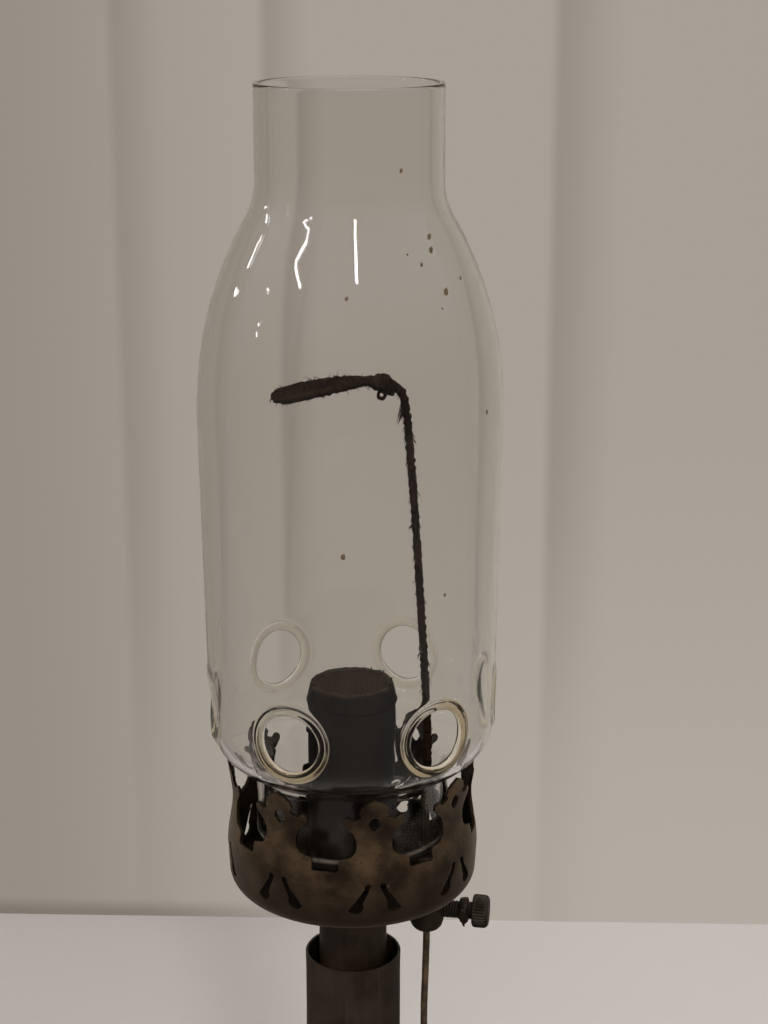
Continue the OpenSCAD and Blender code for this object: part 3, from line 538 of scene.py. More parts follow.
def table_paint():
    """Pale board, lighter to the right with painted light; polished things see it as dim as the rest of the
    room.
    """
    r = Recipe("table_paint")
    # Painted light: the board is lighter to the right.
    tone = r.layers((170, 166, 165), (r.axis("X").ramp(-0.15, 0.2), (186, 184, 183)),
                    (r.mirrored() * 0.8, (20, 19, 18)))
    return r.finish(tone, 0.6, r.noise(0.0015, 3.0), 0.00003, {"Specular IOR Level": 0.25})


def backdrop(name, finish, place):
    """A board 4 m square."""
    bm = bmesh.new()
    bmesh.ops.create_grid(bm, x_segments=2, y_segments=2, size=2)
    bm.transform(place)
    as_object(bm, name, finish)


def lamp(name, place, size, power, roll=0, mirrored=True):
    """A soft warm light aimed at the gallery's height on the lamp's axis."""
    data = bpy.data.lights.new(name, "AREA")
    data.shape = "RECTANGLE"
    data.size, data.size_y = size
    data.energy = power
    data.color = (1.0, 0.97, 0.93)
    light = put_in(name, data)
    light.location = place
    aim = Vector((0, 0, 0.3)) - Vector(place)
    rolled = Matrix.Rotation(radians(roll), 3, "Z")
    light.rotation_euler = (aim.to_track_quat("-Z", "Y").to_matrix() @ rolled).to_euler()
    light.visible_glossy = light.visible_transmission = mirrored


def polar(turn, rise, reach):
    """A place seen from the lamp: turn in degrees from the front towards +X, and rise upwards."""
    turn, rise = radians(turn), radians(rise)
    return (reach * sin(turn) * cos(rise), -reach * cos(turn) * cos(rise), 0.4 + reach * sin(rise))


def set_light():
    room = Recipe("soft_room", room=True)
    way = room.node("ShaderNodeTexCoord", {}, {}, pick="Generated")
    overhead = room.node("ShaderNodeSeparateXYZ", {}, {"Vector": way}, pick="Z").ramp(0.0, 0.6)
    mirrored = room.mirrored()
    tone = room.mix(mirrored * overhead, (1.0, 0.97, 0.93, 1), (0.93, 0.97, 1.0, 1))
    strength = 0.36 - mirrored * (0.27 - overhead * 1.1)
    bpy.context.scene.world = room.done(room.node("ShaderNodeBackground", {}, {
        "Color": tone, "Strength": strength})[0])
    lamp("tube_middle", polar(6, 41.8, 1.3), (0.055, 0.34), 6.0)
    lamp("tube_left", polar(-55, 38.8, 1.3), (0.036, 0.21), 2.6, roll=-32)
    lamp("tube_left_end", polar(-51.5, 32, 1.3), (0.036, 0.24), 2.2, roll=62)
    lamp("door", polar(-110, 21, 1.0), (0.018, 0.13), 0.4)
    lamp("small_window", polar(-114, 10.6, 0.9), (0.03, 0.02), 0.13)
    for rise, power in ((10.7, 0.12), (13.6, 0.3), (22, 0.3)):
        lamp("shelf", polar(-78, rise, 1.4), (0.018, 0.03), power)
    lamp("ceiling", (0.1, -0.5, 2.1), (1.2, 1.2), 20)
    lamp("front_right", polar(8.5, 22, 2.0), (0.15, 0.15), 15, mirrored=False)


# Holes, paths and tubes

def pierce(bm, turn, height, radius, section, reach, step):
    """A round hole through a thin turned wall, with a shaped edge.

    radius(z) is the middle of the wall. section lists the edge from the outer skin to the inner one,
    as (distance from the hole's middle, distance out from the wall's middle). reach is the half
    width of the square patch that the hole replaces.
    """
    def bearing(x, y):
        return (atan2(y, x) - turn + pi) % TURN - pi

    def place(angle, r, out):
        z = height + r * sin(angle)
        tilt = atan2(radius(z - 0.1) - radius(z + 0.1), 0.2)
        way = turn + asin(r * cos(angle) / radius(height))
        ring = radius(z) + out * cos(tilt)
        return Vector((ring * cos(way), ring * sin(way), z + out * sin(tilt)))

    def skin(edge):
        middle = (edge.verts[0].co + edge.verts[1].co) / 2
        return middle.xy.length - radius(middle.z)

    middles = [(f, f.calc_center_median()) for f in bm.faces]
    patch = [f for f, c in middles
             if abs(bearing(c.x, c.y)) < step * (reach + 0.2) and abs(c.z - height) < reach + 0.2]
    bmesh.ops.delete(bm, geom=patch, context="FACES")
    edges = [e for e in bm.edges if e.is_boundary]
    outer = [e for e in edges if skin(e) > 0]
    inner = [e for e in edges if skin(e) < 0]
    angles = {v: atan2(v.co.z - height, radius(height) * sin(bearing(v.co.x, v.co.y)))
              for e in outer for v in e.verts}
    made = []
    for r, out in section:
        ring = bmesh.ops.extrude_edge_only(bm, edges=outer)["geom"]
        made += only(ring, bmesh.types.BMFace)
        before, angles = angles, {}
        for v in only(ring, bmesh.types.BMVert):
            old = next(o for o in (e.other_vert(v) for e in v.link_edges) if o in before)
            angles[v] = before[old]
            v.co = place(angles[v], r, out)
        outer = [e for e in only(ring, bmesh.types.BMEdge) if e.verts[0] in angles and e.verts[1] in angles]
    return made + bmesh.ops.bridge_loops(bm, edges=outer + inner)["faces"]


def smooth_path(points, step):
    """A smooth curve through the points, cut into pieces of about one length."""
    points = [Vector(p) for p in points]
    fine = []
    for i in range(len(points) - 1):
        before = points[max(i - 1, 0)]
        a, b = points[i], points[i + 1]
        after = points[min(i + 2, len(points) - 1)]
        parts = max(2, ceil((b - a).length / step * 4))
        for k in range(parts):
            t = k / parts
            fine.append(0.5 * (2 * a + (b - before) * t + (2 * before - 5 * a + 4 * b - after) * t * t
                               + (3 * a - before - 3 * b + after) * t ** 3))
    fine.append(points[-1])
    out = [fine[0]]
    gone = 0.0
    for a, b in zip(fine, fine[1:]):
        gone += (b - a).length
        if gone >= step:
            out.append(b)
            gone = 0.0
    if (out[-1] - fine[-1]).length > step * 0.3:
        out.append(fine[-1])
    return out


def tube(bm, path, radius, sides=10):
    """Adds a tube along a path; radius(i, angle, place) gives its size all the way round each ring."""
    rings = []
    last = len(path) - 1
    side = (path[1] - path[0]).normalized().orthogonal().normalized()
    for i, p in enumerate(path):
        ahead = (path[min(i + 1, last)] - path[max(i - 1, 0)]).normalized()
        side = (side - ahead * side.dot(ahead)).normalized()
        up = ahead.cross(side)
        turns = [TURN * k / sides for k in range(sides)]
        rings.append([p + (side * cos(a) + up * sin(a)) * radius(i, a, p) for a in turns])
    part = bmesh.new()
    bmesh.ops.create_grid(part, x_segments=sides, y_segments=last, size=0.5)
    for v in part.verts:
        k = round((v.co.x + 0.5) * sides) % sides
        v.co = rings[round((v.co.y + 0.5) * last)][k]
    bmesh.ops.remove_doubles(part, verts=part.verts, dist=0.0001)
    bmesh.ops.holes_fill(part, edges=[e for e in part.edges if e.is_boundary], sides=0)
    merge_in(bm, part)


# The glass chimney

FITTER_TOP = 18.2
FLARE_TOP = 22.04
BODY_FOOT = 34.508
BODY_TOP = 118.184
SHOULDER_TOP = 168.02
NECK_FOOT = 177.0
FITTER_R = 26.0
BODY_FOOT_R = 38.2
BODY_TOP_R = 39.6
NECK_R = 23.9
FLARE_BEND = 4.0
FOOT_BEND = 13.0
SHOULDER_BEND = 100.0
NECK_BEND = 18.0
GLASS_THICK = 1.5


def bow(r, off):
    """How far a round bend of radius r reaches at a distance from its middle."""
    return sqrt(max(0.0, r * r - off * off))


def glass_outside(h):
    """The outer radius of the chimney at a height above its lower end."""
    if h < FITTER_TOP:
        return FITTER_R
    if h < FLARE_TOP:
        return FITTER_R + FLARE_BEND - bow(FLARE_BEND, h - FITTER_TOP)
    if h < BODY_FOOT:
        return BODY_FOOT_R - FOOT_BEND + bow(FOOT_BEND, BODY_FOOT - h)
    if h < BODY_TOP:
        return BODY_FOOT_R + (BODY_TOP_R - BODY_FOOT_R) * (h - BODY_FOOT) / (BODY_TOP - BODY_FOOT)
    if h < SHOULDER_TOP:
        return BODY_TOP_R - SHOULDER_BEND + bow(SHOULDER_BEND, h - BODY_TOP)
    if h < NECK_FOOT:
        return NECK_R + NECK_BEND - bow(NECK_BEND, NECK_FOOT - h)
    return NECK_R


def glass_outline():
    """The chimney's wall, closed on itself, with a fire-polished rim and a ground lower edge."""
    length = RIM_Z - GLASS_Z
    heights = [0.6, 3, 6, 9, 12, 15, FITTER_TOP]
    heights += [FITTER_TOP + FLARE_BEND * sin(radians(a)) for a in (14, 28, 42, 56, 68)]
    heights += [BODY_FOOT - FOOT_BEND * sin(radians(a)) for a in (72, 68, 64, 60, 55, 50, 45, 40)]
    heights += [HOLE_UP - 12 + i for i in range(25)]
    heights += [HOLE_UP + 15 + 3.2 * i for i in range(20)]
    heights += [BODY_TOP + 2.5 * i for i in range(20)]
    heights += [SHOULDER_TOP + 1.5 * i for i in range(6)]
    heights += [178, 182, 186, 190, 194, 197.5, length - 1.2]
    outside = [(glass_outside(h), h) for h in heights]
    inside = []
    for r, h in outside:
        tilt = atan2(glass_outside(h - 0.1) - glass_outside(h + 0.1), 0.2)
        inside.append((r - GLASS_THICK * cos(tilt), h - GLASS_THICK * sin(tilt)))
    inside[0] = (FITTER_R - GLASS_THICK, 0.4)
    rim = arc(23.6, length - 0.3, 0.3, 10, 90, 3) + arc(22.7, length - 0.3, 0.3, 90, 170, 3)
    return outside + rim + inside[::-1] + [(24.9, 0.0), (25.7, 0.0)]


def make_chimney():
    steps, holes, bead_r = 240, 6, 10.9
    bm = bmesh.new()
    spin_outline(bm, glass_outline(), steps)
    section = [(11.5, 0.755), (10.7, 0.765), (10.2, 0.82), (9.85, 0.95), (9.45, 1.07), (8.95, 1.12),
               (8.5, 1.03), (8.1, 0.82), (7.85, 0.45), (7.75, 0.0)]
    section += [(r, -out) for r, out in section[-2::-1]]

    def middle(z):
        return glass_outside(z) - GLASS_THICK / 2 * (1.0 if z > 33 else 1.0 + (33 - z) * 0.02)

    r = middle(HOLE_UP)
    for turn in [k * TURN / holes for k in range(holes)]:
        for f in pierce(bm, turn, HOLE_UP, middle, section, 12, TURN / steps):
            hole = Vector((r * cos(turn), r * sin(turn), HOLE_UP))
            if (f.calc_center_median() - hole).length < bead_r:
                f.material_index = 1
    bmesh.ops.rotate(bm, matrix=Matrix.Rotation(HOLE_TURN, 3, "Z"), verts=bm.verts)
    for v in bm.verts:
        widen(v, 1 + 0.0022 * noise.noise(Vector((v.co.x / 22, v.co.y / 22, v.co.z / 60))))
    lift(bm, GLASS_Z)
    fit(bm, "glass_chimney", GLASS, BEAD_GLASS, node="chimney", slot="glass", body="glass", crease=60,
        merge=0.002)


def make_specks():
    """Flecks of soot and one of rust that have stuck to the glass: (bearing, height, size)."""
    bm = bmesh.new()
    flecks = ((-58.8, 430.4, 0.45), (-46.0, 414.4, 0.6), (-47.8, 411.4, 0.6), (-55.7, 408.5, 0.4),
              (-33.7, 404.0, 0.4), (-45.9, 401.7, 0.75), (-91.4, 401.7, 0.4), (-31.1, 370.9, 0.45),
              (-92.9, 339.3, 0.55), (-53.3, 326.8, 0.4), (-62.0, 411.0, 0.25), (-50.0, 398.0, 0.25))
    for k, (bearing, z, size) in enumerate(flecks):
        fleck = bmesh.new()
        bmesh.ops.create_icosphere(fleck, subdivisions=2, radius=size)
        for v in fleck.verts:
            v.co *= 1 + 0.7 * noise.noise(v.co * 2 / size + Vector((k, 0, 0)))
            v.co.x *= 0.25
            v.co.z *= 1.3
        fleck.transform(Matrix.Rotation(radians(bearing), 4, "Z")
                        @ Matrix.Translation((glass_outside(z - GLASS_Z) - 0.02, 0, z)))
        merge_in(bm, fleck)
    fit(bm, "soot_flecks", FLECK, node=None, slot="rod_steel", body="glass", crease=60)


# The gallery: a floor, a plain band and a crown of palmettes, pierced from sheet brass

BEND_UP = 5.0
BELLY_UP = 11.904
WAIST_UP = 26.04
TIP_UP = 37.2
BELLY_R = 33.3
WAIST_R = 31.8
TIP_R = 33.2
PALMETTES = 8
SECTOR = TURN / PALMETTES
PALMETTE_TURN = radians(-80)
PALMETTE_EDGE = [
    (9.6, 17.0), (9.0, 17.5), (9.1, 19.2), (8.9, 20.3), (7.3, 20.6), (5.8, 21.1), (4.8, 22.4), (4.5, 24.2),
    (4.7, 26.0), (5.4, 27.7), (6.7, 29.0), (7.9, 30.4), (7.9, 31.6), (7.1, 32.4), (6.2, 32.2), (5.8, 31.5),
    (5.0, 31.3), (4.1, 31.8), (3.1, 32.2), (3.4, 33.0), (4.1, 33.7), (3.3, 34.3), (3.6, 35.2), (2.6, 35.6),
    (2.2, 36.3), (1.3, 36.6), (0.5, 37.1)]


def crown_radius(z):
    """The gallery wall's outer radius at a height above its underside."""
    if z < BELLY_UP:
        return BELLY_R - 0.4 * (1 - clamp((z - BEND_UP) / (BELLY_UP - BEND_UP)))
    if z < WAIST_UP:
        sweep = 1 - cos(pi * (z - BELLY_UP) / (WAIST_UP - BELLY_UP))
        return BELLY_R - (BELLY_R - WAIST_R) * sweep / 2
    return WAIST_R + (TIP_R - WAIST_R) * ((z - WAIST_UP) / (TIP_UP - WAIST_UP)) ** 1.6


def leaf_hole():
    """A diamond with swollen sides."""
    sizes = [1.0, 0.86] * 4
    return [(1.6 * q * cos(pi / 4 * i), 30.4 + 2.1 * q * sin(pi / 4 * i)) for i, q in enumerate(sizes)]


def tear_hole(side):
    lean = degrees(atan2(side * 3.5, 6.6))
    head = arc(side * 1.8, 13.0, 0.9, -lean, 180 - lean, 5)
    return head + arc(side * 4.9, 7.4, 2.0, 180 - lean, 360 - lean, 8)


def add_loop(bm, points):
    verts = [bm.verts.new((x, 0, z)) for x, z in points]
    return [bm.edges.new((verts[i], verts[(i + 1) % len(verts)])) for i in range(len(verts))]


def palmette_sheet():
    """One eighth of the crown as a flat sheet, cut into strips that can bend."""
    bm = bmesh.new()
    edge = WAIST_R * SECTOR / 2
    right = [(edge, BEND_UP), (edge, 17.1)] + PALMETTE_EDGE
    left = [(-x, z) for x, z in right[::-1]]
    rounded = eased(right[1:] + [(0.0, 37.3)] + left[:-1], 0.7, closed=False)
    edges = add_loop(bm, [left[-1], right[0]] + rounded) + add_loop(bm, eased(leaf_hole(), 0.3))
    for side in (-1, 1):
        edges += add_loop(bm, tear_hole(side))
    bmesh.ops.triangle_fill(bm, edges=edges, use_beauty=True, use_dissolve=False, normal=(0, -1, 0))
    cuts = [((-edge + i * edge / 12, 0, 0), (1, 0, 0)) for i in range(1, 24)]
    cuts += [((0, 0, BEND_UP + 1.2 * i), (0, 0, 1)) for i in range(1, 27)]
    for place, across in cuts:
        bmesh.ops.bisect_plane(bm, geom=bm.verts[:] + bm.edges[:] + bm.faces[:], dist=0.001,
                               plane_co=place, plane_no=across)
    return bm


def make_gallery():
    bm = bmesh.new()
    sheet = palmette_sheet()
    for k in range(PALMETTES):
        part = sheet.copy()
        for v in part.verts:
            bearing = v.co.x / WAIST_R + PALMETTE_TURN + k * SECTOR
            r = crown_radius(v.co.z)
            v.co = Vector((r * cos(bearing), r * sin(bearing), v.co.z))
        merge_in(bm, part)
    sheet.free()
    floor = [(9.4, 0.0), (20.0, 0.0), (27.9, 0.0)] + arc(27.9, BEND_UP, BEND_UP, -80, 0, 8)
    bowl = bmesh.new()
    spin_outline(bowl, floor, 192, closed=False)
    bmesh.ops.rotate(bowl, matrix=Matrix.Rotation(PALMETTE_TURN - SECTOR / 2, 3, "Z"), verts=bowl.verts)
    merge_in(bm, bowl)
    bmesh.ops.remove_doubles(bm, verts=bm.verts, dist=0.02)
    bmesh.ops.recalc_face_normals(bm, faces=bm.faces)
    for v in bm.verts:
        dent = noise.noise(v.co / 14) * 0.22 + noise.noise(v.co / 5) * 0.07
        out = v.co.xy.normalized() * dent * (clamp((v.co.z - 4) / 8) * clamp((36.5 - v.co.z) / 3))
        v.co.x += out.x
        v.co.y += out.y
    lift(bm, GALLERY_Z)
    piece = keep(bm, "pierced_gallery", GALLERY_SOOT, GALLERY_BRASS, crease=50)
    wall = piece.modifiers.new("sheet", "SOLIDIFY")
    wall.thickness = 0.8 * MM
    wall.offset = -1
    wall.use_even_offset = True
    wall.material_offset = 1
    edge = piece.modifiers.new("edge", "BEVEL")
    edge.width = 0.12 * MM
    edge.segments = 2
    edge.limit_method = "ANGLE"
    edge.angle_limit = radians(55)
    stand_for(piece, "gallery")


# The burner: head, cap and woven gauze

def make_burner_head():
    z0, z1 = ends("burner_head")
    outline = [(9.4, z0), (11.9, z0)] + [(11.9, z0 + 3 + 2.2 * i) for i in range(20)]
    outline += [(11.9, z1), (11.1, z1), (11.1, z0 + 2), (10.4, z0 + 2), (10.4, z0 + 9), (9.4, z0 + 9)]
    bm = turned(outline, 120, 0.25)
    for v in bm.verts:
        if v.co.xy.length > 11.5:
            widen(v, 1 + 0.1 * noise.noise(v.co / 12) / 12)
    fit(bm, "burner_tube", BURNER, node="burner_head", slot="dark_steel")


def make_gauze_cap():
    z0, z2 = ends("gauze_cap")
    z1 = z0 + 7.2
    outline = raised(z0 + 5, (10.4, -5), (11.1, -5), (11.1, 0), (11.9, 0.1), (12.2, 0.5), (12.2, 0.9),
                     (11.95, 1.2), (11.85, 2.0), (11.6, 3.2), (11.35, 4.3))
    outline += raised(z2, (11.2, -0.2), (10.95, 0.35), (10.5, 0.55), (10.0, 0.45), (9.55, 0.1), (9.4, -0.5))
    outline += [(9.4, z1), (10.4, z1 - 1)]
    bm = turned(outline, 168, 0.22)
    for v in bm.verts:
        r = v.co.xy.length
        ragged = noise.noise(v.co / 1.1) * 0.16 + noise.noise(v.co / 3.2) * 0.14
        lip = clamp((v.co.z - z1 - 1.2) / 1.3)
        v.co.z += ragged * lip * 1.4
        if r > 10.5:
            widen(v, 1 + (ragged * 0.5 + 0.05 * lip) * (0.35 + lip) / r)
    for f in bm.faces:
        f.material_index = 1 if f.calc_center_median().z > z2 - 0.1 else 0
    fit(bm, "gauze_cap_ring", BURNER, GAUZE, node="gauze_cap", slot="dark_steel", crease=50)


def make_gauze():
    """Crossing wires, each bent over and under the next, in a shallow dome with a frayed edge."""
    rng = random.Random(7)
    bm = bmesh.new()
    z = ends("gauze_disc")[1] - 0.35
    pitch, reach = 0.86, 9.5
    rows = int(reach / pitch)

    def dome(x, y):
        return 0.55 * (1 - (x * x + y * y) / reach ** 2) + 0.12 * noise.noise(Vector((x / 4, y / 4, 0)))

    for way in (0, 1):
        for i in range(-rows, rows + 1):
            across = i * pitch
            half = sqrt(max(0.0, reach ** 2 - across ** 2)) - rng.uniform(0, 0.25)
            count = int(half / pitch * 4)
            path = []
            for k in range(-count, count + 1):
                along = k * pitch / 4
                wave = cos(pi * (along / pitch + i + way))
                x, y = (along, across) if way == 0 else (across, along)
                path.append(Vector((x, y, z + (dome(x, y) + 0.16 * wave))))
            if len(path) > 3:
                thick = 0.26 + rng.uniform(-0.03, 0.03)
                tube(bm, path, lambda j, angle, p: thick, sides=5)
    fit(bm, "woven_gauze", GAUZE, node="gauze_disc", slot="gauze", crease=80, merge=0.001)


def make_cap_fray():
    """Burnt ends of gauze that stand off the cap's rim."""
    rng = random.Random(11)
    bm = bmesh.new()
    z = ends("gauze_cap")[1] + 0.2
    for place in [38, 44, 62, 5, 12, -12, -20, 110, 150, 200, 236, 290]:
        angle = radians(place + rng.uniform(-3, 3))
        start = Vector((10.6 * cos(angle), 10.6 * sin(angle), z))
        out = Vector((cos(angle), sin(angle), 0))
        side = out.cross(Vector((0, 0, 1))) * rng.uniform(-1, 1)
        long = rng.uniform(0.5, 1.3)
        curl = ((0.35, 0.3, 0.5), (0.3, 0.9, 0.75), (-0.1, 1.3, 0.5))
        path = [start] + [start + (out * a + side * b + Vector((0, 0, c))) * long for a, b, c in curl]
        tube(bm, smooth_path(path, 0.18), lambda j, a, p: 0.13, sides=5)
    fit(bm, "cap_fray", GAUZE, node=None, slot="gauze", crease=80, merge=0.001)


# The tube, the sleeve and the air shutter

PORT_TURNS = [radians(45 + 90 * k) for k in range(4)]
PORT_UP = 10.5
SLEEVE_PORT_R = 3.5


def fill_heights(z0, z1, middle, reach):
    """Heights for a wall that will be pierced: close together round the hole, wide apart elsewhere."""
    near = [middle - reach + i for i in range(2 * reach + 1)]
    below = [z for z in (z0 + 2, z0 + 4) if z < near[0] - 0.5]
    count = max(1, int((z1 - near[-1]) / 4))
    above = [near[-1] + (z1 - near[-1]) * i / count for i in range(1, count)]
    return [z for z in below + near + above if z0 + 0.5 < z < z1 - 0.5]


def drill(bm, middle, half, port_z, port_r, steps, reach):
    """Four ports with rounded edges through a tube's wall, which is twice half thick."""
    edge = [(port_r + 0.25, half), (port_r + 0.08, half - 0.02), (port_r, half - 0.1),
            (port_r, 0.1 - half), (port_r + 0.08, 0.02 - half), (port_r + 0.25, -half)]
    for turn in PORT_TURNS:
        pierce(bm, turn, port_z, lambda z: middle, edge, reach, TURN / steps)


def drilled_tube(bm, r_in, r_out, z0, z1, port_z, steps):
    """A tube with four ports, a little rounded at its ends."""
    reach = 5
    heights = fill_heights(z0, z1, port_z, reach)
    wall = (r_out - r_in) / 2
    outline = ([(r_in + wall * 0.5, z0), (r_out - wall * 0.3, z0), (r_out, z0 + wall * 0.5)]
               + [(r_out, z) for z in heights]
               + [(r_out, z1 - wall), (r_out - wall * 0.4, z1), (r_in + wall * 0.4, z1), (r_in, z1 - wall)]
               + [(r_in, z) for z in heights[::-1]] + [(r_in, z0 + wall * 0.5)])
    spin_outline(bm, outline, steps)
    drill(bm, (r_in + r_out) / 2, wall, port_z, SLEEVE_PORT_R, steps, reach)


def make_sleeve():
    z0, z1 = ends("draught_sleeve")
    bm = bmesh.new()
    drilled_tube(bm, 12.55, 13.15, z0, z1, z0 + PORT_UP, 72)
    for v in bm.verts:
        lip = exp(-((z1 - v.co.z) / 0.9) ** 2)
        dent = 0.07 * noise.noise(v.co / 13) * clamp((v.co.z - z0 - 20) / 10)
        outward = 1 if v.co.xy.length > 12.85 else -0.4
        widen(v, 1 + (0.16 * lip * outward + dent) / 13)
        v.co.z += 0.08 * lip * noise.noise(Vector((v.co.x / 5, v.co.y / 5, 3)))
    fit(bm, "draught_sleeve_tube", SHEET, node="draught_sleeve", slot="dark_steel")


def make_shutter():
    z0, z1 = ends("air_shutter")
    bm = bmesh.new()
    drilled_tube(bm, 13.2, 14.8, z0, z1, ends("draught_sleeve")[0] + PORT_UP, 96)
    rim = [(14.6, z0), (15.7, z0), (15.7, z0 + 3), (14.6, z0 + 3)]
    ring = turned(rim, 384, 0.25)
    knurl(ring, 48, 0.5, lambda v: v.co.xy.length > 15.2)
    merge_in(bm, ring)
    merge_in(bm, turned([(14.6, z1 - 1.5), (15.3, z1 - 1.5), (15.3, z1), (14.6, z1)], 96, 0.4))
    fit(bm, "air_shutter_ring", COLUMN_BRASS, node="air_shutter", slot="old_brass", body="shutter")


def make_tube():
    z0, z1 = ends("mixing_tube")
    port_z, cone = z0 + PORT_UP, z0 + 28
    heights = fill_heights(z0, cone, port_z, 4)
    outline = ([(5.5, z0), (6.3, z0)] + [(6.3, z) for z in heights]
               + raised(cone, (6.3, 0), (6.5, 1), (9.15, 11), (9.35, 12))
               + raised(GALLERY_Z, (9.35, -4.4), (9.6, -4.1), (10.0, -4), (10.2, -3.6), (10.2, -0.9),
                        (10.0, -0.4), (10.2, 0), (9.35, 0))
               + [(9.35, z1), (8.55, z1), (8.55, cone + 12), (5.5, cone)]
               + [(5.5, z) for z in heights[::-1]])
    bm = bmesh.new()
    spin_outline(bm, outline, 64)
    drill(bm, 5.9, 0.4, port_z, 2.5, 64, 4)
    fit(bm, "mixing_tube_body", SHEET, node="mixing_tube", slot="dark_steel")


# The clamp, the rod and the mantle fork

def make_boss():
    """The clamp; its bore leaves room for the bend in the rod."""
    z0, z1 = ends("rod_boss")
    low, high = span("boss_nut")
    shank = min(high[0] - low[0], high[1] - low[1]) / 2 - 1.75
    bore = 1.66
    outline = raised(z0, (bore, 0), (2.4, 0), (3.5, 0.45), (4.35, 1.5), (4.8, 2.9), (4.9, 4.2))
    outline += raised(GALLERY_Z, (4.9, -2.6), (4.6, -2.2), (4.9, -1.8), (4.9, -0.05), (shank, -0.05))
    outline += [(shank, z1), (bore, z1)]
    bm = turned(outline, 72, 0.3, place=ROD_PLACE)
    for v in bm.verts:
        if v.co.z < GALLERY_Z - 3:
            v.co += Vector((v.co.x - ROD_X, v.co.y - ROD_Y, 0)) * 0.012 * noise.noise(v.co / 2.5)
    fit(bm, "rod_clamp", SHEET, node="rod_boss", slot="dark_steel")


def make_screw():
    """The thumbscrew: a worn thread, and a short drum with a knurled edge."""
    place = face_x(ROD_X, ROD_Y, SCREW_Z, SCREW_TURN)
    thread = [(0.0, 1.2), (1.6, 1.3)]
    for i in range(14):
        z = 2.0 + 0.8 * i
        r = 2.18 if z < 5 else 2.5
        thread += [(r, z), (r - 0.22, z + 0.4)]
    thread += [(2.5, 13.6), (0.0, 13.6)]
    bm = turned(thread, 40, 0.08, closed=False, place=place)
    drum = [(0.0, 13.0), (4.0, 13.0), (4.45, 13.25), (4.6, 13.9), (4.55, 16.5), (4.25, 17.2),
            (3.6, 17.55), (3.1, 17.4), (0.0, 17.45)]
    head = turned(drum, 256, 0.3, closed=False)
    knurl(head, 32, 0.42, lambda v: 13.4 < v.co.z < 17.0 and v.co.xy.length > 4.2)
    for v in head.verts:
        v.co += Vector((v.co.x, v.co.y, 0)) * 0.03 * noise.noise(v.co / 2.2)
    head.transform(place)
    merge_in(bm, head)
    fit(bm, "thumbscrew_knob", SCREW_BRASS, node="thumbscrew", slot="old_brass", body="screw", crease=35)


def make_lock_nut():
    """A thin ring on the screw, eaten by verdigris, with a crust that hangs from it."""
    ring = [(2.55, 9.3), (3.3, 9.4), (3.7, 10.1), (3.6, 11.3), (3.1, 11.75), (2.55, 11.8)]
    bm = turned(ring, 72, 0.2)
    bm.normal_update()
    eaten = [(v, v.normal * 0.55 * noise.noise(v.co / 1.3 + Vector((3, 2.1, -3)))) for v in bm.verts]
    for v, move in eaten:
        v.co += move
        r = v.co.xy.length
        if r < 2.55:
            widen(v, 2.55 / r)
    bm.transform(face_x(ROD_X, ROD_Y, SCREW_Z, SCREW_TURN))
    hang = Vector((ROD_X, ROD_Y, SCREW_Z)) + Vector((cos(SCREW_TURN), sin(SCREW_TURN), 0)) * 10.4
    drop = ((0, 0, -3.0), (0.2, 0, -3.7), (0.0, -0.1, -4.5), (0.25, 0, -5.1))
    path = smooth_path([hang + Vector(p) for p in drop], 0.15)
    n = len(path)
    tube(bm, path, lambda i, a, p: 0.95 * (1 - 0.75 * i / n) + 0.2 * noise.noise(p * 2.4))
    fit(bm, "lock_ring", SCREW_BRASS, node="lock_nut", slot="dark_steel", body="screw_lock", crease=60)


def make_rod():
    """The plain rod, bent a little below the clamp."""
    z0, z1 = ends("support_rod")
    count = 90
    path = []
    for i in range(count + 1):
        z = z0 + (z1 - z0) * i / count
        path.append(Vector((ROD_X - 0.6 * clamp((BOSS_Z - z) / 24) ** 1.3, ROD_Y, z)))

    def radius(i, angle, p):
        end = 0.12 if i in (0, count) else 0.0
        rough = 0.0036 if GALLERY_Z - 22 < p.z < GALLERY_Z + 4 else 0.018
        return 0.98 - end + rough * noise.noise(p / 1.5)

    bm = bmesh.new()
    tube(bm, path, radius, sides=20)
    fit(bm, "plain_rod", WIRE, node="support_rod", slot="rod_steel", body="rod")


def make_ferrule():
    z0, z1 = ends("rod_ferrule")
    outline = raised(z0, (0.96, 0), (1.55, 0), (1.7, 0.3), (1.7, 1.6), (1.45, 2.0), (1.7, 2.4))
    outline += raised(z1, (1.7, -2.2), (1.48, -1.8), (1.7, -1.4), (1.65, -0.2), (1.4, 0), (0.96, 0))
    bm = turned(outline, 40, 0.12, place=ROD_PLACE)
    fit(bm, "crimped_ferrule", SHEET, node="rod_ferrule", slot="dark_steel", body="fork")


FORK_START = 258.6
ARM_Z = GALLERY_Z + 137.8
NECK_X = 3.85
TIP_X = -20.15
BEND_IN = 11.5
LOOP_HALF = 3.25
LOOP_ROLL = radians(10)
STRAND_X = 4.85
DOWN = Vector((0, 0, -1))


def arm_height(x):
    rise = 1.5 * min(1.0, (BEND_IN - x) / (BEND_IN - NECK_X))
    return ARM_Z + rise - 2.9 * (max(0.0, NECK_X - x) / 24) ** 1.4


def fork_place(x, y, z):
    """A place in the fork's own plane: x points from the lamp's axis to the rod."""
    c, s = cos(ROD_TURN), sin(ROD_TURN)
    return Vector((x * c - y * s, x * s + y * c, z))


